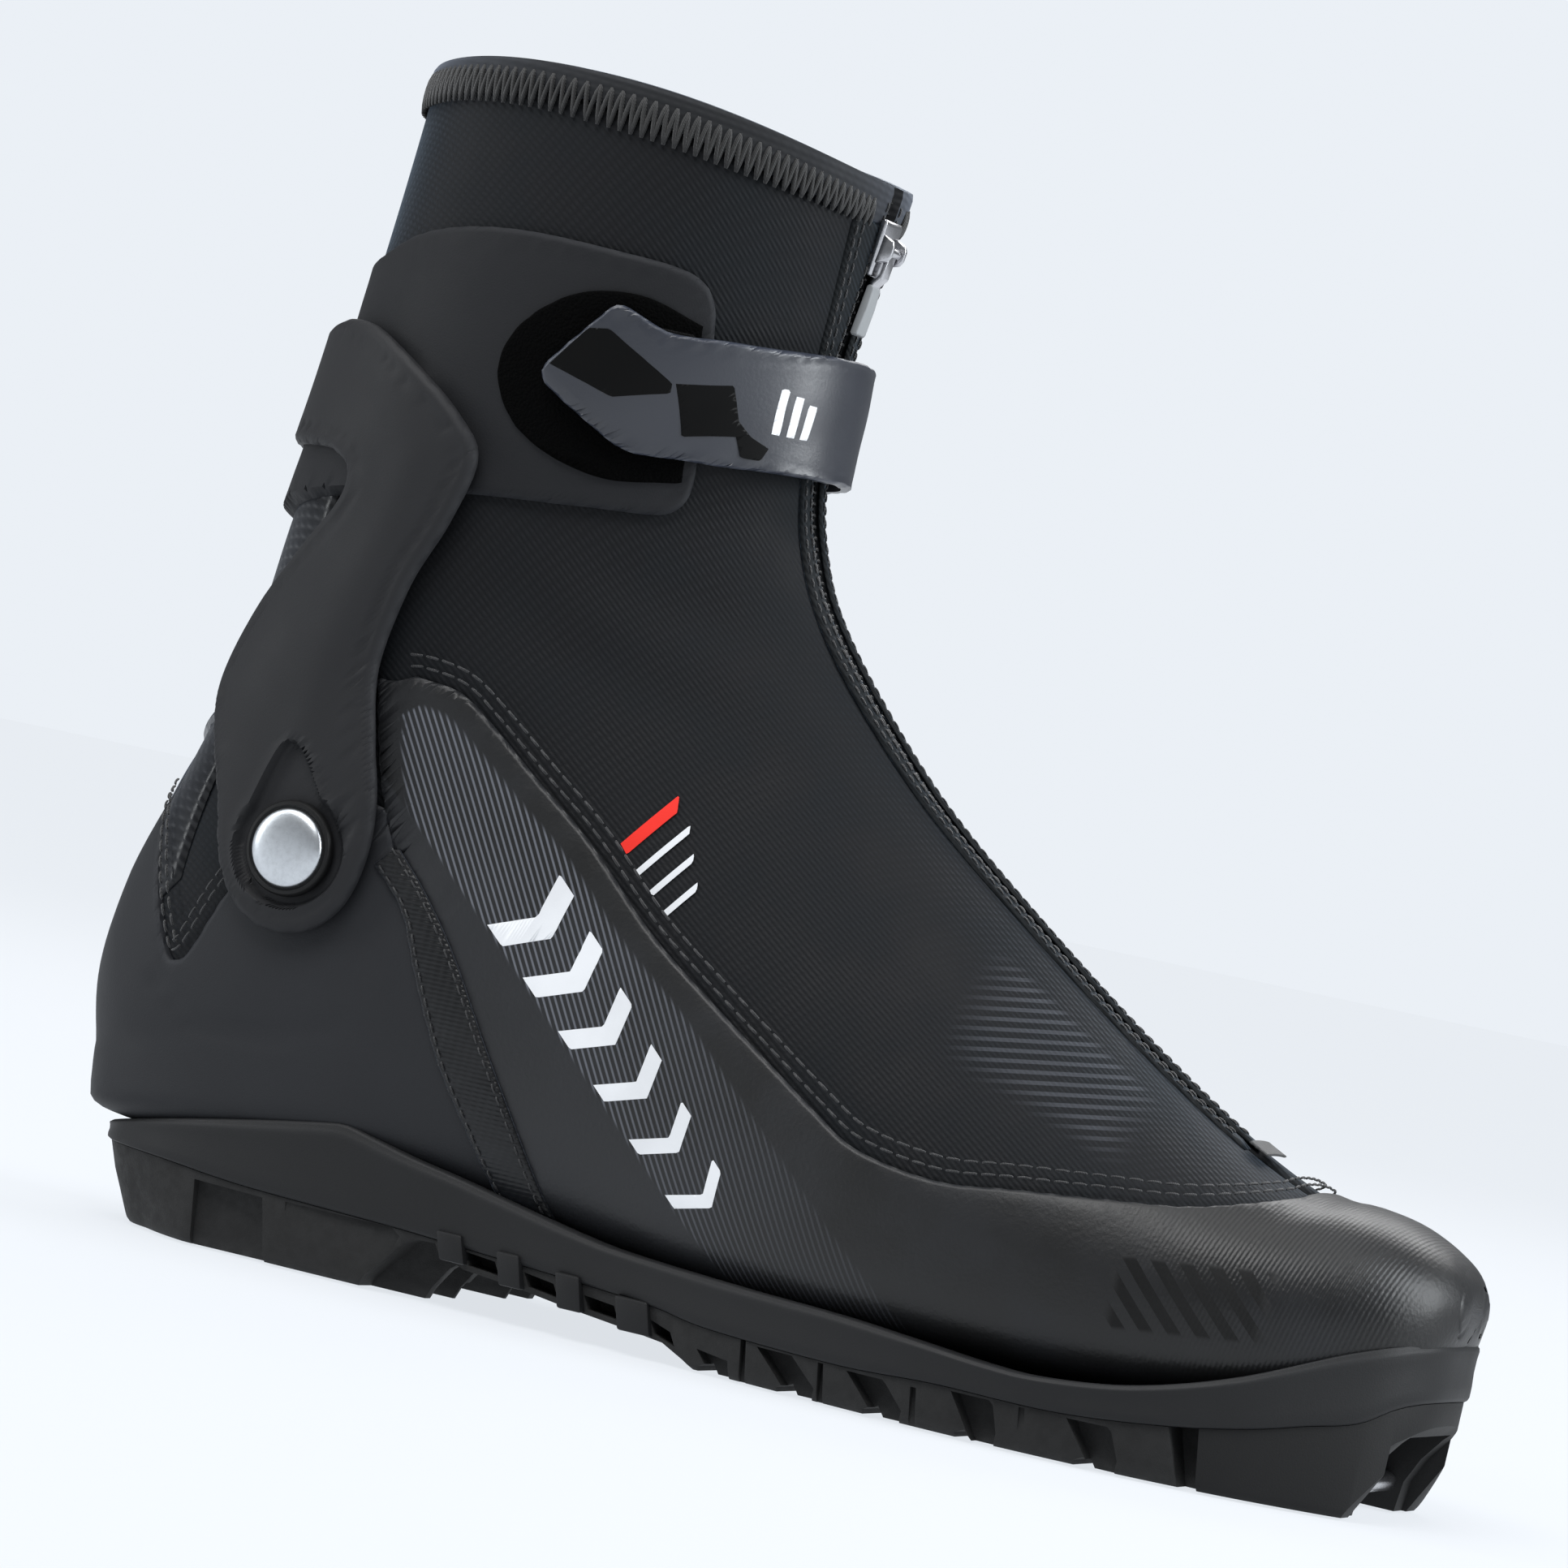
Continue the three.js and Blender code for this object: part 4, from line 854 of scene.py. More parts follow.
# The folded hem is fuller than the skin, and its inner side is turned over the lining.
def hem_section(phi, k):
    """Across the hem: k from 0 at its outer foot over the rim to 1 at its inner foot."""
    low = hem_s(phi)
    path = np.array([(0.0, -0.2), (0.05, 0.55), (0.3, 0.75), (0.75, 0.7), (0.97, 0.3),
                     (1.0, -0.9), (0.97, -2.3), (0.7, -3.0), (0.2, -3.1), (0.0, -2.6)])
    run = np.linspace(0, 1, len(path))
    up, out = np.interp(k, run, path[:, 0]), np.interp(k, run, path[:, 1])
    s = low + (RIM - low) * up
    return surface(s, phi) + normals(s, phi) * out[..., None]


hem_phi = np.linspace(float(phi_at(RIM, 2.5)), 2 * PI + float(phi_at(RIM, -2.5)), 150)
phis, ks = np.meshgrid(hem_phi, np.linspace(0, 1, 28), indexing="ij")
hem_points = hem_section(phis, ks)
count = hem_points.shape[1]
faces = list(grid_faces(len(hem_phi), count, closed=True))
faces.append(list(range(count))[::-1])
faces.append([(len(hem_phi) - 1) * count + i for i in range(count)])
hem = orient(make("collar_hem_fold", hem_points.reshape(-1, 3), faces))
shade(hem, 50)
finish_piece(hem, MAT["hem"], "webbing", "ankle_cuff", "collar_hem")

# Overlock thread zigzags along the foot of the hem.
zig_rows = []
steps = 132
for i in range(steps):
    a = hem_phi[3] + (hem_phi[-4] - hem_phi[3]) * np.array([i, i + 0.5, i + 1]) / steps
    foot, head = hem_s(a) - 0.16, hem_s(a) + (RIM - hem_s(a)) * 0.5
    s = np.array([foot[0], head[1], foot[2]])
    for j in (0, 1):
        t = np.linspace(0, 1, 6)
        ss, aa = s[j] + (s[j + 1] - s[j]) * t, a[j] + (a[j + 1] - a[j]) * t
        zig_rows.append((skin(ss, aa, 0.62 + 0.35 * np.sin(t * PI)), normals(ss, aa)))


def cords(name, lines, radius, sides=6, taper=0.7):
    """Round threads that follow whole lines."""
    verts, faces = [], []
    for p, m in lines:
        along = np.gradient(p, axis=0)
        along /= np.maximum(np.linalg.norm(along, axis=1, keepdims=True), 1e-9)
        side = np.cross(along, m)
        side /= np.maximum(np.linalg.norm(side, axis=1, keepdims=True), 1e-9)
        up = np.cross(side, along)
        radii = [radius * taper, *[radius] * (len(p) - 2), radius * taper]
        tube(verts, faces, p, side, up, radii, sides)
    return orient(make(name, np.array(verts), faces))


overlock = cords("collar_overlock_thread", zig_rows, 0.5)
finish_piece(overlock, MAT["thread_black"], "webbing", "ankle_cuff")

# ---------------------------------------------------------------- overlay
top = to_domain([p for p in OVERLAY_TOP if p[0] > -79])
top = top[top[:, 1] > 0.02]
lower_line = smooth([(-33, 17.5), (-10, 16.5), (20, 15.2), (50, 14.6), (83, 15.2), (100, 16.8),
                     (118, 20), (133, 24.5), (142, 28.5)])
low = to_domain(lower_line)
seam_part = to_domain([p for p in SEAM if 19 < p[1] < 119])


def mirror(line):
    return np.stack([line[:, 0], -line[:, 1]], -1)


closing = [(s, PI) for s in np.linspace(TOE, 0.6, 24)]
outer_side = np.vstack([[(TOE, p) for p in np.linspace(0.1, PI, 12)], closing[1:], low[::-1],
                        seam_part[::-1], top])
overlay_loop = np.vstack([mirror(outer_side), outer_side[::-1]])
OVERLAY_OUT = 1.7  # mm off the last, to its outer face


def toe_fullness(s, phi, spots, away):
    """The toe box is stiffened, and stands fuller than the last's fan of sections."""
    return 2.6 * bump_at(spots, (131, 0, 52), (17, 60, 13)) * np.clip(away / 9, 0, 1)


overlay = panel("vamp_overlay_skin", overlay_loop, 0.05, OVERLAY_OUT, 0.9, (0.13, 0.055),
                toe_fullness,
                seam=lambda s, p: (np.abs(p) > PI - 1e-4) | (s < TOE + 1e-4))
POLE_REACH = 9 * MM


def smooth_pole(bm):
    """Smooths the overlay round the point where the last's sections close at the toe."""
    pole = Vector(metres(skin(np.array(TOE), np.array(0.0), np.array(OVERLAY_OUT))))
    near_pole = [v for v in bm.verts if (v.co - pole).length < POLE_REACH]
    for _ in range(30):
        bmesh.ops.smooth_vert(bm, verts=near_pole, factor=0.5, use_axis_x=True,
                              use_axis_y=True, use_axis_z=True)


edit(overlay, smooth_pole)
shade(overlay, 50)
finish_piece(overlay, MAT["overlay"], "synthetic", "boot", "vamp_overlay")

edge_line = np.vstack([mirror(top), top[::-1]])
rows_ = [seam_line(inset(resample(edge_line, 1.0, False), d, False), OVERLAY_OUT)
         for d in (-2.2, -4.4)]

# ---------------------------------------------------------------- heel counter
COUNTER = smooth([(-137.5, 89), (-134, 84.5), (-128, 68), (-122.5, 56.5), (-119.5, 55),
                  (-116, 58), (-109, 72), (-98, 86.5), (-90, 92.5), (-82, 94), (-77, 93)])
counter_low = smooth([(-36, 20.5), (-45, 21.5), (-60, 23.5), (-78, 26.5), (-92, 25.0),
                      (-104, 23.0), (-114, 21.5)])
counter_side = np.vstack([
    [(14.06, PI)], to_domain(COUNTER), to_domain([p for p in SEAM if 20 < p[1] < 92]),
    to_domain(counter_low), [(10.45, PI)]])
counter_loop = np.vstack([counter_side, np.stack([counter_side[::-1, 0],
                                                  2 * PI - counter_side[::-1, 1]], -1)])


def segment_distance(spots, a, b):
    a, b = np.array(a, float), np.array(b, float)
    p = spots[..., [0, 2]]
    d = b - a
    t = np.clip(((p - a) @ d) / (d @ d), 0, 1)
    return np.linalg.norm(p - (a + t[..., None] * d), axis=-1)


CREASE = [(-124, 51), (-117, 46), (-113, 43.5), (-103, 43.5), (-91, 45.5), (-80, 49)]


def counter_relief(s, phi, spots, away):
    near = np.min([segment_distance(spots, a, b) for a, b in zip(CREASE, CREASE[1:])], axis=0)
    groove = -0.55 * np.exp(-(near / 0.9) ** 2)
    pillow = 0.5 * np.clip(away / 14, 0, 1)
    bulge = 1.7 * bump_at(spots, (-143, 0, 42), (22, 60, 20))
    bulge = bulge + 3.6 * bump_at(spots, (-140, 0, 27), (20, 60, 10))
    return groove + pillow + bulge - 0.35


counter = panel("heel_counter_shell", counter_loop, 0.05, 1.75, 1.1, (0.10, 0.05),
                counter_relief)


def fill_low(obj):
    """Moves a heel piece's low part outward, so that it comes down flush with the frame."""
    co = np.empty(len(obj.data.vertices) * 3)
    obj.data.vertices.foreach_get("co", co)
    spots = co.reshape(-1, 3) / MM - ORIGIN
    above = spots[:, 2] - level(FEATHER, spots[:, 0])
    out = spots[:, :2] - np.stack([np.clip(spots[:, 0], -112, 0), 0 * spots[:, 0]], -1)
    out /= np.maximum(np.linalg.norm(out, axis=1, keepdims=True), 1e-6)
    reach = np.interp(above, [-3, 0, 3, 6, 9, 12.5, 17], [10.5, 9.8, 8.2, 5.2, 3.0, 1.4, 0.0])
    share = np.interp(spots[:, 0], [-130, -118, -100, -70, -50], [1.0, 0.72, 0.42, 0.2, 0.0])
    spots[:, :2] += out * (reach * share)[:, None]
    obj.data.vertices.foreach_set("co", ((spots + ORIGIN) * MM).ravel())


fill_low(counter)
shade(counter, 50)
finish_piece(counter, MAT["counter"], "moulded", "boot", "heel_counter")
notch = to_domain([p for p in COUNTER if -136 < p[0] < -100])
for k, d in enumerate((2.0, 3.9)):
    for side in (-1, 1):
        line = resample(notch, 0.8, False)
        line = inset(line, d, False)
        line[:, 1] *= side
        rows_.append(seam_line(line, 1.85))
trim = thread("upper_stitching", rows_, 2.6, 0.9, 0.26, 0.22)
finish_piece(trim, MAT["thread"], "synthetic", "boot")

# ---------------------------------------------------------------- seam tape
for side, tag in ((-1, "lateral"), (1, "medial")):
    left = [(-78, 82.5), (-70, 74.5), (-64.5, 63), (-56.5, 48), (-48, 36), (-37.5, 21)]
    right = [(-73.5, 86.5), (-65.5, 78.5), (-57, 68), (-47, 53), (-35.5, 36), (-26, 20)]
    loop = np.vstack([smooth(left), smooth(right)[::-1]])
    line = to_domain(loop)
    line[:, 1] *= side
    tape = panel("seam_tape_strip_" + tag, line, 1.6, 2.65, 0.5, (0.2, 0.08))
    finish_piece(tape, MAT["tape"], "synthetic", "boot", "seam_tape_" + tag)
    rows_ = []
    for path, d in ((left, -1), (right, 1)):
        edge_ = smooth([(x + d * -1.3, z) for x, z in path])
        dom = resample(to_domain(edge_), 0.8, False)
        dom[:, 1] *= side
        rows_.append(seam_line(dom, 2.65))
    sewn = thread("seam_tape_thread_" + tag, rows_, 1.9, 0.7, 0.2, 0.16)
    finish_piece(sewn, MAT["thread"], "synthetic", "boot")

# ---------------------------------------------------------------- zip
def ribbon(name, inner_half, outer_half, side, s_range, inner, outer, rows=150, columns=9,
           edge=0.6):
    low = lambda p: s_range[0] + 0 * p
    high = hem_s if s_range[1] is None else (lambda p: s_range[1] + 0 * p)
    width = lambda h: h if callable(h) else (lambda s: h + 0 * s)
    a, b = width(inner_half), width(outer_half)
    return band(name, low, high, lambda s: phi_at(s, side * a(s)), lambda s: phi_at(s, side * b(s)),
                rows, columns, inner, outer, None, edge)


def edge_width(s):
    """How wide the stitched edge beside the zip is: broad at the collar, narrow at the ankle."""
    return np.interp(s, [3.9, 5, 8, 10.5, 12, 14, 16, 17.5, 19],
                     [6.0, 6.2, 6.5, 6.0, 6.2, 8.5, 10.5, 12.0, 13.0])


zip_rows = []
for side, tag in ((-1, "lateral"), (1, "medial")):
    facing = ribbon("zip_facing_" + tag, ZIP_HALF + 0.1, edge_width, side, (3.95, None), -0.1, 0.75,
                    columns=14)
    finish_piece(facing, MAT["collar"], "softshell", "flex")
    tape = ribbon("zip_tape_" + tag, 0.3, 9.5, side, (4.0, None), -4.1, -3.4, 120, 6, 0.3)
    finish_piece(tape, MAT["zip_tape"], "webbing", "flex", "zipper_tape_" + tag)
    s = np.linspace(4.1, 18.6, 400)
    for k, gap in enumerate((0.9, 2.6)):
        line = np.stack([s, phi_at(s, side * (edge_width(s) - gap))], -1)
        zip_rows.append(seam_line(line, 0.78))
    line = np.stack([s, phi_at(s, side * (ZIP_HALF + 1.1))], -1)
    zip_rows.append(seam_line(line, 0.78))
sewn = thread("zip_facing_thread", zip_rows, 1.9, 0.75, 0.24, 0.2)
finish_piece(sewn, MAT["thread"], "softshell", "flex")

# The coil: teeth from the left and right by turns, over a narrow tape.
s_all = np.linspace(4.15, 18.75, 2400)
ridge = surface(s_all, 0 * s_all)
run = np.concatenate([[0], np.cumsum(np.linalg.norm(np.diff(ridge, axis=0), axis=1))])
pitch, tooth_lines = 1.15, []
for i in range(int(run[-1] / pitch)):
    s0 = float(np.interp((i + 0.5) * pitch, run, s_all))
    side = -1 if i % 2 else 1
    y = side * np.linspace(1.95, -0.55, 6)
    ss = np.full(6, s0) + 0.006 * np.linspace(-1, 1, 6)
    ph = phi_at(ss, y)
    lift = -1.15 + 0.55 * np.sqrt(np.clip(1 - (np.linspace(-1, 1, 6)) ** 2, 0, 1))
    tooth_lines.append((skin(ss, ph, lift), normals(ss, ph)))
coil = cords("zip_coil_teeth", tooth_lines, 0.42, 6, 0.6)
finish_piece(coil, MAT["coil"], "webbing", "flex", "zipper_chain")
bed = band("zip_coil_bed", lambda p: 4.1 + 0 * p, hem_s, lambda s: phi_at(s, -2.2),
           lambda s: phi_at(s, 2.2), 150, 5, -2.4, -1.5, None, 0.3)
finish_piece(bed, MAT["zip_tape"], "webbing", "flex")

# Bartack over the zip's foot, over the two facings.
tack = []
for i in range(15):
    s0 = 3.78 + 0.012 * i
    y = np.linspace(-6.2, 6.2, 15)
    ss = np.full(15, s0)
    tack.append((skin(ss, phi_at(ss, y), np.full(15, 1.95)), normals(ss, phi_at(ss, y))))
bartack = cords("zip_bartack", tack, 0.3)
finish_piece(bartack, MAT["thread"], "webbing", "boot", "zip_bottom_stop")

# ---------------------------------------------------------------- cuff wrap and pad
WRAP_TOP = smooth([(-117.5, 199.4), (-107, 202), (-97, 206), (-85, 208.5), (-70, 209.7),
                   (-51, 209.6), (-41, 209.2), (-36, 207.6), (-33.6, 203.5), (-33, 198)])
WRAP_FOOT = smooth([(-33, 175), (-33.3, 166), (-35.5, 162), (-40, 160.6), (-53, 159.5),
                    (-80, 157), (-105, 152.7), (-119, 149.5)])
wrap_side = np.vstack([to_domain(WRAP_TOP), to_domain(WRAP_FOOT)])
wrap_side[0, 1] = wrap_side[-1, 1] = PI
wrap_loop = np.vstack([wrap_side, np.stack([wrap_side[::-1, 0], 2 * PI - wrap_side[::-1, 1]], -1)])
wrap = panel("cuff_wrap_shell", wrap_loop, 0.05, 1.7, 1.2, (0.10, 0.06),
             lambda s, p, spots, away: -0.35 * np.exp(-((away - 3.2) / 0.5) ** 2) +
             2.1 * np.clip((181 - spots[..., 2]) / 5, 0, 1) * np.clip((-82 - spots[..., 0]) / 6,
                                                                     0, 1))
shade(wrap, 50)
finish_piece(wrap, MAT["wrap"], "moulded", "ankle_cuff", "cuff_wrap")

PAD = smooth([(-35.2, 199), (-46, 202.5), (-58, 200.5), (-68, 193), (-71.5, 184), (-68, 175),
              (-60, 169), (-48, 166), (-35.2, 168)])
pad_loop = to_domain(PAD)
pad_loop[:, 1] *= -1
pad = panel("closure_loop_pad", pad_loop, 1.6, 2.7, 0.7, (0.12, 0.06))
finish_piece(pad, MAT["pad"], "pad", "ankle_cuff", "closure_pad")

# ---------------------------------------------------------------- cuff yoke
YOKE_SIDE = smooth([
    (-118.5, 184.2), (-110, 187), (-104, 187.8), (-97, 186.2), (-86, 180), (-76.5, 172.5),
    (-71.5, 165), (-75, 152), (-81.5, 137), (-84.5, 121), (-82, 106), (-79.2, 95), (-78.7, 84),
    (-81.5, 73.5), (-88, 67), (-97, 65.4), (-105, 69), (-110.5, 77), (-113.5, 88),
    (-118, 101), (-119.5, 112), (-115, 127), (-106, 142), (-99.5, 152), (-99, 158.5),
    (-104, 161.4), (-112, 161.6), (-121, 161.2)])
yoke_side = to_domain(YOKE_SIDE)
yoke_side[0, 1] = yoke_side[-1, 1] = PI
yoke_loop = np.vstack([yoke_side, np.stack([yoke_side[::-1, 0], 2 * PI - yoke_side[::-1, 1]], -1)])


def teardrop(spots):
    """Distance in from the edge of the recess about the pivot, which has a point above it."""
    d = spots[..., [0, 2]] - np.array(PIVOT)
    round_ = 12.0 - np.linalg.norm(d, axis=-1)
    t = np.clip(d[..., 1] / 21.0, 0, 1)
    spine = -3.6 * t
    tip = 12.0 * np.sqrt(np.clip(1 - t, 0, 1)) * (1 - 0.35 * t) - np.abs(d[..., 0] - spine)
    tip = np.where((d[..., 1] > 0) & (d[..., 1] < 21), tip, -9)
    return np.maximum(round_, tip)


def yoke_relief(s, phi, spots, away):
    depth = teardrop(spots)
    hollow = -1.7 * np.clip(depth / 1.0, 0, 1) - 0.35 * np.clip(depth / 5, 0, 1)
    hollow = hollow + 0.45 * np.clip(1 + depth / 1.6, 0, 1) * (depth <= 0)
    line = [(-93, 176), (-84, 165), (-87, 150), (-93, 132), (-96, 116), (-97, 106)]
    near = np.min([segment_distance(spots, a, b) for a, b in zip(line, line[1:])], axis=0)
    crown = 0.35 * np.exp(-(near / 4.5) ** 2)
    crease = -0.5 * np.exp(-((away - 3.4) / 0.55) ** 2) * np.clip((spots[..., 2] - 96) / 12, 0, 1)
    return hollow + crown + crease - 0.5


rims = []
for k in (-1.6, -0.9, -0.3, 0.0, 0.5, 1.0, 1.4, 2.2):
    turn = np.radians(np.arange(180, 361, 3.6))
    arc = np.stack([np.cos(turn), np.sin(turn)], -1) * (12.0 - k) + PIVOT
    t = np.linspace(0, 1, 34)
    half = 12.0 * np.sqrt(1 - t) * (1 - 0.35 * t) - k
    for way in (-1, 1):
        leg = np.stack([-3.6 * t + way * half, 21.0 * t], -1)[half > 0.2] + PIVOT
        rims.append(leg)
    rims.append(arc)
rims = to_domain(np.vstack(rims))
rims = np.vstack([rims, np.stack([rims[:, 0], 2 * PI - rims[:, 1]], -1)])
yoke = panel("cuff_yoke_shell", yoke_loop, 3.9, 6.7, 2.4, (0.06, 0.03), yoke_relief,
             floor=0.12, guides=rims)
shade(yoke, 60)
finish_piece(yoke, MAT["yoke"], "moulded", "ankle_cuff", "cuff_yoke")


def revolve(name, centre, axis, profile, sides=56, lead=None):
    """A turned piece: profile is (radius, height) from its middle outward."""
    axis = np.array(axis, float) / np.linalg.norm(axis)
    lead = np.array((1.0, 0, 0.3)) if lead is None else np.array(lead)
    u = lead - axis * (lead @ axis)
    u /= np.linalg.norm(u)
    v = np.cross(axis, u)
    turns = np.linspace(0, 2 * PI, sides, endpoint=False)
    verts, faces = [], []
    for r, h in profile:
        for a in turns:
            verts.append(np.array(centre) + axis * h + r * (u * math.cos(a) + v * math.sin(a)))
    faces = list(grid_faces(len(profile), sides, closed=True))
    faces.append(list(range(sides)))
    faces.append([(len(profile) - 1) * sides + i for i in range(sides)][::-1])
    edge = np.repeat([abs(profile[-1][1] - h) for r, h in profile], sides)
    obj = orient(make(name, np.array(verts), faces, extra={"edge": edge + 9}))
    return shade(obj, 35)


for side, tag in ((-1, "lateral"), (1, "medial")):
    spot = to_domain([PIVOT])[0]
    n_ = normals(spot[0], side * spot[1])
    at = surface(spot[0], side * spot[1])
    ring = revolve("pivot_ring_" + tag, at + n_ * 4.6, n_,
                   [(3.0, 0), (9.4, 0), (9.7, 0.5), (9.6, 1.5), (9.2, 2.0), (8.6, 2.1),
                    (8.2, 1.7), (3.0, 1.6)])
    finish_piece(ring, MAT["ring"], "moulded", "ankle_cuff")
    dome = [(0.1, 0.0), (7.7, 0.0), (7.9, 0.3), (7.9, 1.3), (7.75, 1.8), (7.4, 2.15),
            (6.6, 2.5), (5.3, 2.8), (3.6, 3.0), (1.8, 3.1), (0.1, 3.12)]
    cap = revolve("pivot_cap_dome_" + tag, at + n_ * 5.2, n_, dome)
    finish_piece(cap, MAT["cap"], "satin_metal", "ankle_cuff", "pivot_cap_" + tag)
    shaft_at = np.array((PIVOT[0], at[1], PIVOT[1]))
    shaft = revolve("pivot_shaft_" + tag, shaft_at, (0, side, 0),
                    [(0.1, -4.6), (3.0, -4.6), (3.3, -4.2), (3.3, 4.6), (3.1, 5.0), (0.1, 5.0)], 32)
    finish_piece(shaft, MAT["steel"], "steel", "boot", "pivot_rivet_" + tag)
    washer = revolve("pivot_washer_disc_" + tag, at + n_ * 1.95, n_,
                     [(4.2, 0), (7.8, 0), (8.0, 0.2), (8.0, 1.3), (7.8, 1.5), (4.2, 1.5)], 48)
    finish_piece(washer, MAT["steel"], "satin_metal", "boot", "pivot_washer_" + tag)
    plate = revolve("pivot_plate_disc_" + tag, at - n_ * 4.2, n_,
                    [(4.2, 0), (7.8, 0), (8.0, 0.2), (8.0, 0.8), (7.8, 1.0), (4.2, 1.0)], 48)
    finish_piece(plate, MAT["steel"], "steel", "boot", "pivot_plate_" + tag)

# ---------------------------------------------------------------- strap
TOP_Z, FOOT_Z = 199.3, 173.7
MID_Z = (TOP_Z + FOOT_Z) / 2


def ridge_x(z):
    p = surface(_S, 0 * _S)
    return float(np.interp(z, p[:, 2], p[:, 0]))


def to_front(x, z, low=None):
    """A strap edge's way from the side to the front, which starts lower where low is given."""
    line = [(x, z), (ridge_x(z) - 0.25, z)]
    if low is not None:
        line = [(x, low), (x + 7, low + (z - low) * 0.35), (x + 16, z), (ridge_x(z) - 0.25, z)]
    d = to_domain(straight(line))
    return d[d[:, 1] > 0.02]


def strap_relief(s, phi, spots, away):
    across = (spots[..., 2] - MID_Z) / 13
    return 0.35 * np.clip(1 - across ** 2, 0, 1) - 0.35


outer_top, outer_foot = to_front(-34.0, TOP_Z, 197.0), to_front(-34.0, FOOT_Z, 172.8)
inner_top, inner_foot = to_front(-51.0, TOP_Z), to_front(-51.0, FOOT_Z)
tip_top = to_domain(np.vstack([
    smooth([(-61.8, 184.4), (-60.4, 187.0), (-52.2, 197.6), (-50.2, 199.8), (-48.6, 200.0),
            (-46.0, 198.9), (-41.0, 196.6), (-36.5, 196.6), (-34.4, 196.9)])]))
tip_foot = to_domain(np.vstack([
    smooth([(-34.4, 172.8), (-40, 172.4), (-45.7, 172.6), (-51.5, 175.9), (-59.4, 181.0),
            (-61.2, 182.8)])]))
outer_line = np.vstack([tip_top, outer_top])
lower_line = np.vstack([outer_foot[::-1], tip_foot])
strap_loop = np.vstack([mirror(outer_line), inner_top[::-1], inner_foot, mirror(lower_line)])
strap = panel("strap_band_webbing", strap_loop, 3.6, 6.0, 0.7, (0.12, 0.05),
              lambda s, p, spots, away: strap_relief(s, p, spots, away) -
              0.25 * np.exp(-((away - 1.6) / 0.4) ** 2))
shade(strap, 50)
finish_piece(strap, MAT["strap"], "strap", "peel", "strap_band", "strap_tip")
hook_loop = to_domain(np.vstack([
    straight([(-36, 176), (-36, 197)]), straight([(-36, 197), (-48, 197)]),
    straight([(-48, 197), (-58, 186)]), straight([(-58, 186), (-57, 182)]),
    straight([(-57, 182), (-47, 176), (-36, 176)])]))
hook_loop[:, 1] *= -1
hook = panel("strap_hook_pad", hook_loop, 2.95, 3.65, 0.4, (0.15, 0.07))
finish_piece(hook, MAT["hook"], "pad", "strap_tip", "hook_pad")

anchor_loop = to_domain(np.vstack([straight([(-65.8, FOOT_Z), (-65.8, TOP_Z)]),
                                   straight([(-64, TOP_Z), (-51.4, TOP_Z)]),
                                   straight([(-51.4, TOP_Z - 1), (-51.4, FOOT_Z)]),
                                   straight([(-52, FOOT_Z), (-65, FOOT_Z)])]))
anchor = panel("strap_anchor_plate", anchor_loop, 1.9, 6.0, 1.4, (0.12, 0.06),
               lambda s, p, spots, away: -0.5 * np.exp(-((away - 2.6) / 0.5) ** 2) - 0.2)
shade(anchor, 50)
finish_piece(anchor, MAT["wrap"], "moulded", "ankle_cuff", "strap_anchor")

# ---------------------------------------------------------------- heel: bellows and pull tab
def pleats(s, phi, spots):
    ridge = np.abs(np.sin(PI * (s - 14.3) / 0.2)) ** 0.8
    fade = np.clip((s - 14.3) / 0.1, 0, 1) * np.clip((15.3 - s) / 0.1, 0, 1)
    side = np.clip(1.25 - np.abs(phi - PI) / 0.75, 0, 1)
    return 1.7 * ridge * fade * side


bellows = band("achilles_bellows_pleats", lambda p: 12.3 + 0 * p, lambda p: 16.2 + 0 * p,
               lambda s: PI - 0.92 + 0 * s, lambda s: PI + 0.92 + 0 * s, 130, 60, 0.0, 0.9, pleats)
finish_piece(bellows, MAT["glossy"], "softshell", "flex")

leaf_up = np.linspace(13.55, 14.42, 14)
leaf_half = 0.165 * np.sin(np.clip((leaf_up - 13.3) / 1.12, 0, 1) * PI) ** 0.75
leaf = np.vstack([np.stack([leaf_up, PI - leaf_half], -1),
                  np.stack([leaf_up[::-1], PI + leaf_half[::-1]], -1)])
tab = panel("heel_pull_tab", leaf, 1.9, 3.3, 0.6, (0.06, 0.05),
            lambda s, p, spots, away: 1.6 * np.clip((s - 13.9) / 0.5, 0, 1) ** 2)
finish_piece(tab, MAT["loop"], "webbing", "boot", "heel_pull_loop")

# ---------------------------------------------------------------- sole
# Half widths of the sole along its length: x, outer, inner.
SOLE_PLAN = [
    (-138.4, 7, 7), (-135.0, 16, 16), (-127.8, 24, 24), (-114.2, 30.5, 30.5), (-95, 34, 33.5),
    (-70, 35.5, 34.5), (-40, 36, 34), (-10, 38.5, 35.5), (20, 44, 39), (50, 48.5, 43.5),
    (75, 49.5, 46.5), (100, 46.5, 45), (117, 41, 41.5), (130, 34, 35), (140.5, 26, 27),
    (146, 18, 19), (149, 8, 9)]


def closed_curve(points, per=14):
    p = np.array(points, float)
    out = []
    n = len(p)
    t = np.linspace(0, 1, per, endpoint=False)[:, None]
    for i in range(n):
        a, b, c, d = p[i - 1], p[i], p[(i + 1) % n], p[(i + 2) % n]
        out.append(catmull(a, b, c, d, t))
    return np.vstack(out)


PLAN = closed_curve([(x, -a) for x, a, b in SOLE_PLAN] + [(x, b) for x, a, b in SOLE_PLAN[::-1]])
_d = np.roll(PLAN, -1, 0) - np.roll(PLAN, 1, 0)
PLAN_OUT = np.stack([_d[:, 1], -_d[:, 0]], -1) / np.linalg.norm(_d, axis=1, keepdims=True)


def plan_at(shift):
    """The sole's outline moved out by a distance in mm, or in where it is negative."""
    return PLAN + PLAN_OUT * shift


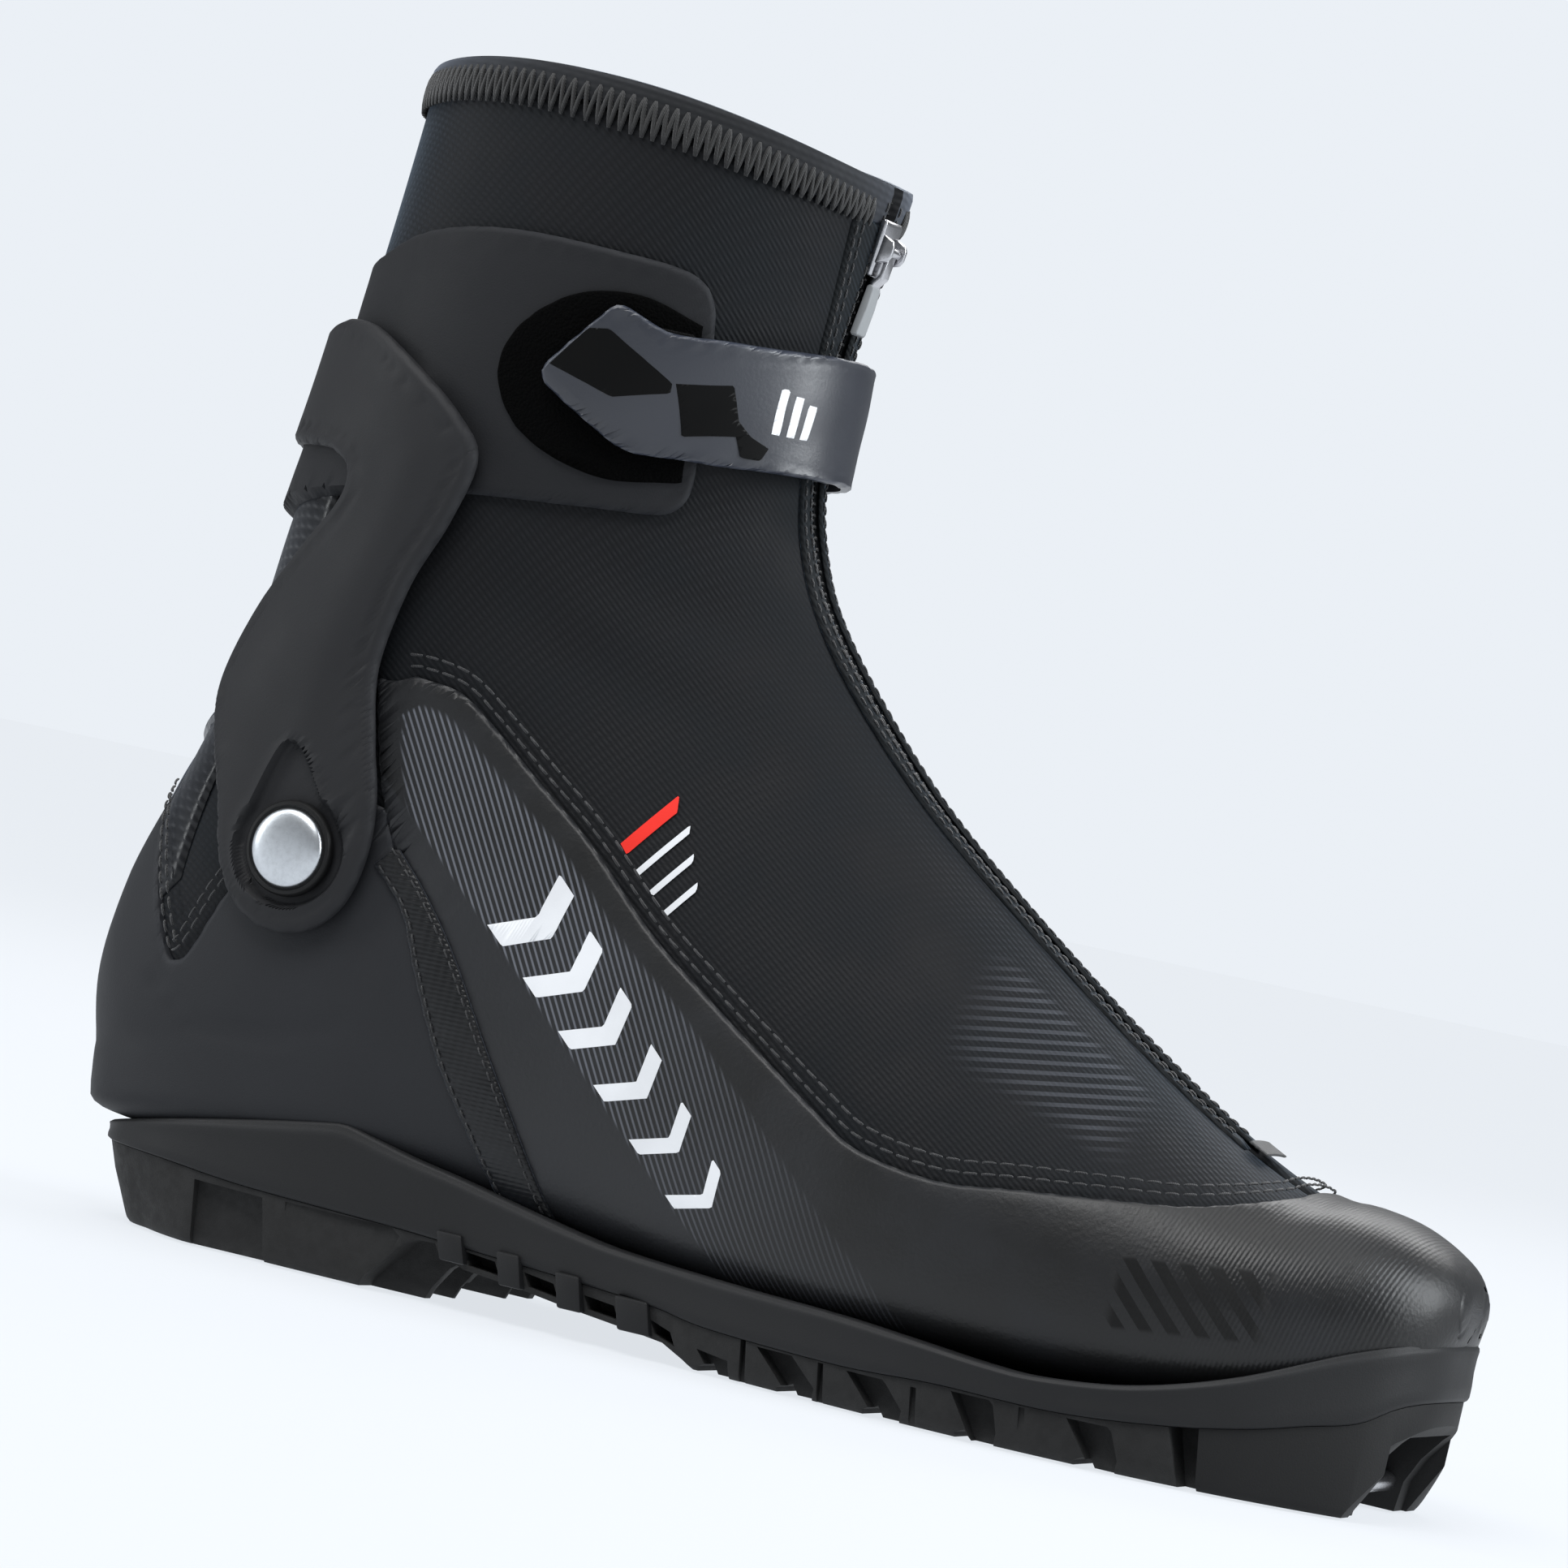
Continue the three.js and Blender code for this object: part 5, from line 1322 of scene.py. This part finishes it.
def toward_middle(points, reach):
    target = np.stack([np.clip(points[:, 0], -112, 126), 0 * points[:, 0]], -1)
    step = target - points
    size = np.linalg.norm(step, axis=1, keepdims=True)
    return points + step / size * np.minimum(reach, size * 0.9)


def stack_rings(rings):
    """A closed solid from rings of the same count, with a flat cap at each end."""
    n = len(rings[0])
    verts = np.vstack(rings)
    faces = list(grid_faces(len(rings), n, closed=True))
    faces.append(list(range(n)))
    faces.append([(len(rings) - 1) * n + i for i in range(n)][::-1])
    return verts, faces


# The frame: a rolled lip at the feather line, a slightly hollow wall and a rounded foot.
wall_profile = [  # height from 0 at the parting to 1 at the feather, distance out
    (0.00, -14.0), (0.00, -3.0), (0.00, -1.0), (0.02, -0.35), (0.07, -0.05), (0.25, 0.0),
    (0.5, -0.15), (0.72, -0.05), (0.84, 0.12), (0.90, 0.0), (0.93, -0.3), (0.955, -0.35),
    (0.985, -0.6), (1.00, -1.3), (1.00, -3.0), (0.97, -7.0), (0.85, -14.0)]
rings, levels = [], []
for t, shift in wall_profile:
    ring = plan_at(max(shift, -1.3))
    if shift < -1.3:
        ring = toward_middle(ring, -shift - 1.3)
    low_z, high_z = level(PARTING, ring[:, 0]), level(FEATHER, ring[:, 0])
    if abs(shift) > 1.3:
        edge_ring = plan_at(-1.3)
        low_z, high_z = level(PARTING, edge_ring[:, 0]), level(FEATHER, edge_ring[:, 0])
    rings.append(np.column_stack([ring, low_z + (high_z - low_z) * t]))
    # distance from the parting, a ridge just under the lip and the feather line, along which the
    # sole material paints a pale highlight
    levels.append(np.full(len(ring), min(abs(t - 0.88), t, abs(1 - t)) * 14.0))
n_ring = len(rings[0])
verts = np.vstack(rings)
faces = list(grid_faces(len(rings), n_ring, closed=True))
# join the innermost ring at the top to the innermost ring at the bottom, so the frame is a tube
faces += [((len(rings) - 1) * n_ring + i, (len(rings) - 1) * n_ring + (i + 1) % n_ring,
           (i + 1) % n_ring, i) for i in range(n_ring)]
sole_frame = orient(make("sole_frame_ring", verts, faces,
                         extra={"edge": np.concatenate(levels)}))
shade(sole_frame, 45)
finish_piece(sole_frame, MAT["sole"], "sole_frame", "boot", "midsole_frame")


def solid(name, outline, y0, y1):
    """A side-view outline pushed through from y0 to y1."""
    o = np.array(outline, float)
    n = len(o)
    verts = np.vstack([np.column_stack([o[:, 0], np.full(n, y), o[:, 1]]) for y in (y0, y1)])
    faces = [list(range(n)), list(range(n, 2 * n))[::-1]]
    faces += [(i, i + n, (i + 1) % n + n, (i + 1) % n) for i in range(n)]
    return orient(make(name, verts, faces, False))


def tapered_body(name, top_line, top_gap, insets=((0.0, -3.2, 0), (0.7, -2.5, 0), (1.5, -2.2, 0))):
    rings = []
    behind = np.clip((-108 - PLAN[:, :1]) / 16, 0, 1)
    for z, shift, more in insets:
        rings.append(np.column_stack([plan_at(shift - more * behind), np.full(len(PLAN), z)]))
    ring = plan_at(-0.9)
    rings.append(np.column_stack([ring, level(top_line, ring[:, 0]) - top_gap]))
    verts, faces = stack_rings(rings)
    return orient(make(name, verts, faces, False))


def combine(obj, tools, operation="DIFFERENCE"):
    for tool in tools:
        modifier = obj.modifiers.new("cut", "BOOLEAN")
        modifier.operation, modifier.solver, modifier.object = operation, "MANIFOLD", tool
    bpy.context.view_layer.update()
    got = obj.evaluated_get(bpy.context.evaluated_depsgraph_get())
    mesh = bpy.data.meshes.new_from_object(got)
    obj.modifiers.clear()
    old, obj.data = obj.data, mesh
    bpy.data.meshes.remove(old)
    for tool in tools:
        bpy.data.objects.remove(tool)
    return obj


def soften(obj, width, angle=32, segments=2):
    modifier = obj.modifiers.new("soft", "BEVEL")
    modifier.width, modifier.segments = width * MM, segments
    modifier.limit_method, modifier.angle_limit = "ANGLE", math.radians(angle)
    modifier.use_clamp_overlap = True
    bpy.context.view_layer.update()
    got = obj.evaluated_get(bpy.context.evaluated_depsgraph_get())
    mesh = bpy.data.meshes.new_from_object(got)
    obj.modifiers.clear()
    obj.data = mesh
    keep_rest(obj)
    return shade(obj, 40)


def keep_rest(obj):
    """Writes each vertex's drawn place, for the materials."""
    mesh = obj.data
    co = np.empty(len(mesh.vertices) * 3)
    mesh.vertices.foreach_get("co", co)
    co = co.reshape(-1, 3) / MM - ORIGIN
    for key, kind in (("rest", "FLOAT_VECTOR"), ("edge", "FLOAT")):
        old = mesh.attributes.get(key)
        if old is not None:
            mesh.attributes.remove(old)
        layer = mesh.attributes.new(key, kind, "POINT")
        if key == "rest":
            layer.data.foreach_set("vector", co.astype(np.float32).ravel())
        else:
            layer.data.foreach_set("value", np.full(len(co), 9.0, np.float32))


# Forefoot: a row of leaning lugs on each edge, a shank that rises to the arch, two grooves.
SHANK = [(-52, 15), (-49, 10.0), (-43, 8.0), (-31, 7.0), (-19.4, 5.6), (-6.8, 4.5), (3.0, 3.6),
         (8, 1.4), (11.5, -0.6)]
fore_side = [*SHANK, (115.5, -1), (115.5, 30), (-52, 30)]
fore = tapered_body("forefoot_lugs", PARTING, 0.1)
fore = combine(fore, [solid("side", fore_side, -80, 80)], "INTERSECT")
tools = []
for top_x, low_x in ((5, 15), (22.5, 33), (42.5, 52), (64.5, 71.5), (87.5, 95)):
    z = float(level(PARTING, top_x)) - 0.6
    recess = [(low_x + 1.2, -2), (low_x + 4.2, -2), (low_x + 4.8, 2.4), (top_x + 10.5, z - 0.8),
              (top_x + 9.6, z), (top_x + 1.8, z)]
    if top_x < 10:
        recess = [(low_x + 1.2, -2), (low_x + 4.2, -2), (low_x + 3.2, 3.4), (top_x + 6, 4.2)]
    for side in (-1, 1):
        half = abs(float(np.interp(top_x + 6, [r[0] for r in SOLE_PLAN],
                                   [r[1 if side < 0 else 2] for r in SOLE_PLAN])))
        a, b = sorted((side * (half - 5.5), side * 80))
        tools.append(solid("recess", recess, a, b))
        rib = top_x + 15.5
        a, b = sorted((side * (half - 1.9), side * 80))
        tools.append(solid("rib", [(rib + 0.8, -2), (rib + 2.2, -2), (rib + 1.2, z), (rib, z)],
                           a, b))
for side in (-1, 1):
    a, b = sorted((side * 35, side * 80))
    tools.append(solid("gap", [(111.5, -2), (120, -2), (120, 12.6), (107.5, 12.6)], a, b))
# the lugs' feet step up where each one starts
for low_x in (15, 33, 52, 71.5, 95):
    tools.append(solid("step", [(low_x - 3.4, -2), (low_x + 1.4, -2), (low_x - 1.4, 1.9),
                                (low_x - 3.4, 0.9)], -80, 80))
# dark windows under the arch, between the clips
for x0, x1 in ((-43.5, -36.5), (-29.8, -23.0), (-16.0, -9.0), (-0.5, 4.5)):
    for side in (-1, 1):
        half = float(np.interp(x0, [-70, -40, -10, 20], [34.5, 35.0, 37.0, 41.0]))
        a, b = sorted((side * (half - 7), side * 80))
        low0, low1 = (float(np.interp(x, [q[0] for q in SHANK], [q[1] for q in SHANK])) + 1.1
                      for x in (x0 + 1.4, x1 + 1.4))
        tools.append(solid("window", [(x0 + 1.4, low0), (x1 + 1.4, low1), (x1, low1 + 2.6),
                                      (x0, low0 + 2.6)], a, b))
fore = combine(fore, tools)
tools = []
for i in range(9):
    x = 24 + 9.5 * i
    tools.append(solid("sipe", [(x, -1), (x + 2.6, -1), (x + 3.4, 2.4), (x + 0.8, 2.4)], -4.6, 4.6))
for y in (-9, 9):
    tools.append(solid("groove", [(-60, -1), (130, -1), (130, 4), (-60, 4)], y - 3, y + 3))
fore = soften(combine(fore, tools), 0.45)
finish_piece(fore, MAT["tread"], "tread_rubber", "boot", "forefoot_tread")

# Heel: a rear block, a narrow rib, a broad block, and a tail that is cut away at the front.
heel_side = [(-160, 40), (-140, 18.5), (-136.9, 14.6), (-134.7, 11.0), (-130.6, 4.2),
             (-128.6, 0.8), (-127, -1), (-54, -1), (-52.6, 2.4), (-49.6, 6.8), (-46, 9.6),
             (-44, 15), (-44, 40)]
heel = tapered_body("heel_lugs", PARTING, 0.1, (
    (0.0, -3.2, 4.4), (0.7, -2.5, 4.4), (1.5, -2.2, 4.3), (6, -1.8, 2.8), (10, -1.4, 1.4)))
heel = combine(heel, [solid("side", heel_side, -80, 80)], "INTERSECT")
tools = []
for side in (-1, 1):
    a, b = sorted((side * 29.0, side * 80))
    tools.append(solid("recess", [(-104.8, -2), (-86.9, -2), (-89.6, 12.6), (-106.2, 12.9)], a, b))
    a, b = sorted((side * 33.6, side * 80))
    tools.append(solid("recess", [(-82.9, -2), (-64, -2), (-58, 11.5), (-60, 12.9), (-84.2, 12.9)],
                       a, b))
    a, b = sorted((side * 26.5, side * 80))
    tools.append(solid("front", [(-66.5, -2), (-64.6, 2), (-57.0, 10.4), (-54.5, 11.6),
                                 (-40, 12.2), (-40, -2)], a, b))
for y0, y1 in ((-24, -13), (-10.5, 10.5), (13, 24)):
    tail = [(-70, -2), (-66, 3.5), (-60, 9.5), (-55, 11.6), (-40, 12.2), (-40, -2)]
    tools.append(solid("tail", tail, y0, y1))
heel = combine(heel, tools)
tools = []
for i in range(5):
    x = -119 + 9.0 * i
    tools.append(solid("sipe", [(x, -1), (x + 2.4, -1), (x + 3.0, 2.2), (x + 0.6, 2.2)], -4.8, 4.8))
for y in (-9, 9):
    tools.append(solid("groove", [(-150, -1), (-50, -1), (-50, 3.6), (-150, 3.6)], y - 3, y + 3))
heel = soften(combine(heel, tools), 0.45)
finish_piece(heel, MAT["tread"], "tread_rubber", "boot", "heel_tread")

# Ribs that clip the frame to the shank under the arch, with open windows between them.
pieces = []
for x0, x1, top_z in ((-49.7, -44.1, 14.6), (-35.9, -30.9, 13.4), (-22.3, -17.0, 12.2),
                      (-8.3, -1.2, 10.6)):
    low = float(np.interp(x0 + 3, [q[0] for q in SHANK], [q[1] for q in SHANK])) - 0.2
    for side in (-1, 1):
        half = float(np.interp(x0 + 3, [r[0] for r in SOLE_PLAN],
                               [r[1 if side < 0 else 2] for r in SOLE_PLAN]))
        a, b = sorted((side * (half - 6.5), side * (half + 0.75)))
        pieces.append(solid("clip", [(x0, top_z), (x1, top_z), (x1 + 1.8, low), (x0 + 1.8, low)],
                            a, b))
clips = fuse(pieces, "shank_clips")
soften(clips, 0.5)
finish_piece(clips, MAT["sole"], "sole_frame", "boot")

# Toe block, with the jaw's mouth and a bevel round it.
block = tapered_body("toe_block_body", PARTING, 0.1,
                     ((0.0, -2.6, 0), (0.8, -1.9, 0), (2.0, -1.5, 0)))
block_side = [(114.6, -1), (138, -1), (151.5, 23.0), (151.5, 50), (109.5, 50)]
block = combine(block, [solid("side", block_side, -80, 80)], "INTERSECT")
jaw_side = smooth([(127, -5), (127, 8.5), (128.2, 11.8), (131, 13.6), (136, 14.6), (143, 16.2),
                   (170, 22)])
jaw_loop = [tuple(p) for p in jaw_side] + [(170, -5)]
flare = [(137, -5), (138.5, 6), (141, 11), (144.5, 15.5), (150, 21), (170, 24), (170, -5)]
tools = [solid("jaw", jaw_loop, -14, 14), solid("flare", flare, -19.5, 19.5)]
block = soften(combine(block, tools), 0.8, 30, 3)
finish_piece(block, MAT["toe_block"], "sole_frame", "boot", "toe_binding_block")
bar_profile = [(0.05, -18), (1.7, -18), (2.0, -17.6), (2.0, 17.6), (1.7, 18), (0.05, 18)]
bar = revolve("binding_bar_steel", tuple(BAR_DRAWN), (0, 1, 0), bar_profile, 32)
finish_piece(bar, MAT["steel"], "steel", "boot", "binding_bar")

# ---------------------------------------------------------------- zip slider and pull
ZIP_TOP, ZIP_LOW = 18.0, 16.5
zip_top = skin(np.array(ZIP_TOP), np.array(0.0), np.array(0.3))
zip_down = skin(np.array(ZIP_LOW), np.array(0.0), np.array(0.3)) - zip_top
zip_down /= np.linalg.norm(zip_down)
zip_out = np.array((-zip_down[2], 0.0, zip_down[0]))


def zip_solid(name, outline, width, soft=0.3, taper=None):
    """A profile along the zip and out from it, with a width that may narrow along its length."""
    o = np.array(outline, float)
    n = len(o)
    half = np.full(n, width / 2) if taper is None else taper(o[:, 0]) / 2
    place = zip_top + o[:, :1] * zip_down + o[:, 1:] * zip_out
    verts = np.vstack([place + np.outer(side * half, (0, 1, 0)) for side in (-1, 1)])
    faces = [list(range(n)), list(range(n, 2 * n))[::-1]]
    faces += [(i, i + n, (i + 1) % n + n, (i + 1) % n) for i in range(n)]
    obj = orient(make(name, verts, faces, False))
    return soften(obj, soft, 25, 3)


def join(objs, name):
    fuse(objs, name)
    keep_rest(objs[0])
    return objs[0]


slider_parts = [
    zip_solid("slider_body", [(0.6, 0.35), (11.4, 0.35), (12, 0.9), (11.6, 1.7), (7, 1.95),
                              (0.8, 1.95), (0, 1.3)], 9, 0.45,
              lambda d: np.interp(d, [0, 4, 12], [9.0, 8.6, 6.4])),
    zip_solid("slider_ear_a", [(2.9, 1.8), (3.9, 4.2), (5.0, 4.75), (7.0, 4.75), (8.1, 4.2),
                               (9.1, 1.8)], 1.1, 0.3),
    zip_solid("slider_ear_b", [(2.9, 1.8), (3.9, 4.2), (5.0, 4.75), (7.0, 4.75), (8.1, 4.2),
                               (9.1, 1.8)], 1.1, 0.3),
]
for part, side in ((slider_parts[1], -1), (slider_parts[2], 1)):
    part.data.transform(Matrix.Translation((0, side * 3.35 * MM, 0)))
slider = join(slider_parts, "zip_slider_body")
finish_piece(slider, MAT["steel"], "steel", "zip_slider", "zip_slider")

barrel_at, barrel_out = 6.0, 3.2
barrel = zip_top + barrel_at * zip_down + barrel_out * zip_out
pin = revolve("pull_pin", barrel, (0, 1, 0), [(0.05, -3.8), (0.6, -3.8), (0.6, -2.6), (1.05, -2.5),
                                             (1.05, 2.5), (0.6, 2.6), (0.6, 3.8), (0.05, 3.8)], 24)
shank_piece = zip_solid("pull_shank", [(6, 2.75), (10.8, 2.7), (12.4, 1.5), (15.0, 1.5),
                                       (15.0, 2.5), (13.2, 2.6), (11.6, 3.7), (6, 3.75)], 3.6, 0.3)
metal = join([pin, shank_piece], "zip_pull_link")
finish_piece(metal, MAT["steel"], "pull", "zip_pull", "zip_pull")
rubber = zip_solid("zip_pull_tab", [(13.6, 1.15), (23.6, 1.15), (24.1, 1.6), (23.6, 2.75),
                                    (18, 2.95), (13.8, 2.8), (13.2, 2.0)], 5, 0.45,
                   lambda d: np.interp(d, [13, 24], [3.9, 5.0]))
finish_piece(rubber, MAT["pull"], "pull", "zip_pull")

# ---------------------------------------------------------------- inside the boot
def dress(name, material):
    """Gives a CAD node that is shown its own procedural finish."""
    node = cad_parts[name]
    keep_rest(node)
    node.data.materials.clear()
    node.data.materials.append(material)
    node.data.shade_smooth()
    node.data.set_sharp_from_angle(angle=math.radians(35))


dress("lasting_board", MAT["board"])
tongue = band("tongue_pad", lambda p: 4.0 + 0 * p, lambda p: 9.0 + 0 * p,
              lambda s: phi_at(s, -19.0), lambda s: phi_at(s, 19.0), 70, 40, -12.2, -9.95,
              lambda s, p, spots: -0.35 * np.abs(np.sin(s * 5)) ** 6)
finish_piece(tongue, MAT["lining"], "lining", "boot", "tongue")
for side, tag in ((-1, "lateral"), (1, "medial")):
    stay = ribbon("eyestay_strip_" + tag, 9.0, lambda s: 19.0 + 0 * s, side, (4.0, 8.0), -9.4, -8.2,
                  60, 9, 0.4)
    finish_piece(stay, MAT["tape"], "synthetic", "boot", "eyestay_" + tag)
i = np.linspace(0, 32, 260)
lace_s = 4.2 + 3.6 * i / 32
lace_phi = phi_at(lace_s, 13 * np.cos(PI * i / 4))
lace_line = (skin(lace_s, lace_phi, -6.2), normals(lace_s, lace_phi))
lace = cords("lace_cord", [lace_line], 1.15, 12, 1.0)
finish_piece(lace, MAT["lace"], "lace", "boot", "lace")

bed_line = smooth([(-128, 25), (-108, 21.5), (-68, 19.5), (-28, 17.5), (8, 14.5), (39, 13.5),
                   (70, 13.5), (97, 14.5), (119, 17.5), (131, 21.0)])
xs = np.linspace(-124, 128, 110)
ws = np.linspace(-1, 1, 25)
dish = np.interp(xs, [-124, -118, -100, -60, 20, 90, 118, 128],
                 [10, 17, 24.5, 25.5, 31, 33, 26, 14])
grid_x, grid_w = np.meshgrid(xs, ws, indexing="ij")
gy = grid_w * dish[:, None] - 1.0
rise = 0.9 * np.abs(grid_w) ** 6
top_z = level(bed_line, grid_x) + 8.2 + rise
low_z = level(bed_line, grid_x) + 5.3
footbed = thick_grid("footbed_felt", np.stack([grid_x, gy, top_z], -1),
                     np.stack([grid_x, gy, low_z], -1))
shade(footbed, 50)
finish_piece(footbed, MAT["footbed"], "lining", "boot", "footbed")


# ---------------------------------------------------------------- printed motifs, with no letters
def printed(name, outlines, side, base, material, slot_name, body, thick=0.07):
    """Flat shapes printed on the last's surface at an offset, given in side view."""
    made = []
    for k, outline in enumerate(outlines):
        line = to_domain(straight([*outline, outline[0]])[:-1])
        line[:, 1] *= side
        made.append(panel(name + "_" + str(k), line, base, base + thick, 0.05, (0.12, 0.05),
                          floor=0.9, spacing=0.8))
    return finish_piece(fuse(made, name), material, slot_name, body)


BAND_ALONG, BAND_UP = np.array((0.755, -0.656)), np.array((0.72, 0.694))


def band_shape(origin, *points):
    """Points given along the overlay's leaning band and up across it."""
    return [tuple(np.array(origin) + a * BAND_ALONG + u * BAND_UP) for a, u in points]


START = (-50.5, 76.0)


def on_band(along, up=0.0):
    return tuple(np.array(START) + along * BAND_ALONG + up * BAND_UP)


white = []
for k in range(6):
    reach = 17.0 - 1.1 * k
    wide = 5.4 - 0.45 * k
    white.append(band_shape(on_band(13.2 * k), (0, -1.0), (wide, -1.0), (wide + 4.6, reach / 2),
                            (wide, reach), (0, reach), (4.6, reach / 2)))
printed("band_motif", white, -1, 1.7, MAT["print"], "synthetic", "boot")
RED_AT, ACCENT_ALONG, ACCENT_UP = np.array((-28.2, 96.2)), np.array((0.70, -0.71)), np.array(
    (0.60, 0.80))


def accent_shape(along, *points):
    return [tuple(RED_AT + (along + a) * ACCENT_ALONG + u * ACCENT_UP) for a, u in points]


printed("accent_red", [accent_shape(0, (0, 0), (2.6, 0), (2.6, 12.5), (0, 14.5))], -1, 0.02,
        MAT["accent"], "softshell", "boot")
thin = []
for k in range(3):
    thin.append(accent_shape(6.4 + 5.2 * k, (0, 0.5 * k), (1.3, 0.5 * k), (1.3, 12.5 - 2.0 * k),
                             (0, 13.6 - 2.0 * k)))
printed("accent_pale", thin, -1, 0.02, MAT["print"], "softshell", "boot")
bars = []
for k, x in enumerate((-24.6, -22.8, -21.3)):
    bars.append([(x, 181.5), (x + 1.0 - 0.1 * k, 181.5), (x + 1.5 - 0.1 * k, 190.5 - k),
                 (x + 0.5, 190.5 - k)])
printed("strap_motif", bars, -1, 5.98, MAT["print"], "strap", "strap")
dark_blocks = [[(-60.2, 186.0), (-54.2, 194.4), (-50.6, 195.0), (-39.3, 187.3), (-39.5, 185.4),
                (-48.6, 182.1)],
               [(-38.8, 187.4), (-30.5, 189.5), (-28.9, 182.4), (-27.1, 180.1), (-24.6, 178.5),
                (-25.3, 175.6), (-28.0, 175.6), (-29.0, 179.4), (-36.9, 177.4)]]
printed("strap_tip_print", dark_blocks, -1, 5.95, MAT["gloss_print"], "strap", "peel")

# ---------------------------------------------------------------- camera, light and floor
def look_along(turn, roll, distance, target, lens):
    a, r = math.radians(turn), math.radians(roll)
    back = np.array((math.sin(a), -math.cos(a), 0.0))
    right, up = np.array((math.cos(a), math.sin(a), 0.0)), np.array((0.0, 0.0, 1.0))
    i = right * math.cos(r) + up * math.sin(r)
    j = -right * math.sin(r) + up * math.cos(r)
    data = bpy.data.cameras.new("camera")
    data.lens, data.sensor_width = lens, 36.0
    data.clip_end = 20.0
    camera = bpy.data.objects.new("camera", data)
    place = (np.array(target) + ORIGIN) * MM + back * distance
    camera.matrix_world = Matrix([[*c] for c in zip(
        (*i, 0.0), (*j, 0.0), (*back, 0.0), (*place, 1.0))])
    bpy.context.scene.collection.objects.link(camera)
    bpy.context.scene.camera = camera


look_along(turn=22, roll=11.5, distance=1.3, target=(-11, 0, 114), lens=149.7)


def area_light(name, place, target, size, power, color=(1, 1, 1)):
    data = bpy.data.lights.new(name, "AREA")
    data.shape, data.size, data.size_y = "RECTANGLE", size[0], size[1]
    data.energy, data.color = power, color
    light = bpy.data.objects.new(name, data)
    light.location = place
    light.rotation_euler = (Vector(target) - Vector(place)).to_track_quat("-Z", "Y").to_euler()
    bpy.context.scene.collection.objects.link(light)
    return light


AIM = (0, 0, 0.11)
lights = [
    area_light("key", (-0.05, -0.8, 1.2), AIM, (0.8, 0.5), 8.5),
    area_light("front_strip", (1.15, 0.12, 0.62), AIM, (0.5, 0.9), 17, (0.93, 0.97, 1.0)),
    area_light("back_strip", (-1.15, -0.5, 0.5), AIM, (0.25, 0.9), 5, (0.95, 0.98, 1.0)),
    area_light("rim", (-0.15, 1.0, 0.9), AIM, (1.2, 0.5), 7),
]
sun_data = bpy.data.lights.new("overhead", "SUN")
sun_data.energy, sun_data.angle = 1.75, math.radians(70)
sun = bpy.data.objects.new("overhead", sun_data)
sun.rotation_euler = (math.radians(14), math.radians(-8), 0)
bpy.context.scene.collection.objects.link(sun)
lights.append(sun)
bpy.ops.mesh.primitive_plane_add(size=12, location=(0, 0, -0.0005))
floor = bpy.context.object
floor.name = "floor"
floor_nodes = Nodes("floor_pale")
floor_nodes.finish((0.90, 0.92, 0.95, 1), 0.95, Specular_IOR_Level=0.0)
glow = floor_nodes.new("ShaderNodeEmission", {"Color": (0.83, 0.87, 0.92, 1), "Strength": 1.0})
even = floor_nodes.new("ShaderNodeMixShader", {0: 0.86})
output = floor_nodes.tree.nodes["Material Output"]
under = floor_nodes.new("ShaderNodeNewGeometry").outputs["Backfacing"]
clear = floor_nodes.new("ShaderNodeBsdfTransparent")
both = floor_nodes.new("ShaderNodeMixShader", {0: under})
floor_nodes.tree.links.new(even.outputs[0], both.inputs[1])
floor_nodes.tree.links.new(clear.outputs[0], both.inputs[2])
floor_nodes.tree.links.new(floor_nodes.bsdf.outputs[0], even.inputs[1])
floor_nodes.tree.links.new(glow.outputs[0], even.inputs[2])
floor_nodes.tree.links.new(both.outputs[0], output.inputs[0])
floor.data.materials.append(floor_nodes.material)
world = bpy.data.worlds.new("studio")
world.use_nodes = True
tree = world.node_tree
sky = tree.nodes["Background"]
sky.inputs[0].default_value = (0.83, 0.87, 0.92, 1)
seen = tree.nodes.new("ShaderNodeLightPath")
strength = tree.nodes.new("ShaderNodeMapRange")
strength.inputs["To Min"].default_value = 0.24
strength.inputs["To Max"].default_value = 1.0
tree.links.new(seen.outputs["Is Camera Ray"], strength.inputs["Value"])
tree.links.new(strength.outputs[0], sky.inputs[1])
bpy.context.scene.world = world
bpy.context.scene.view_settings.view_transform = "Standard"
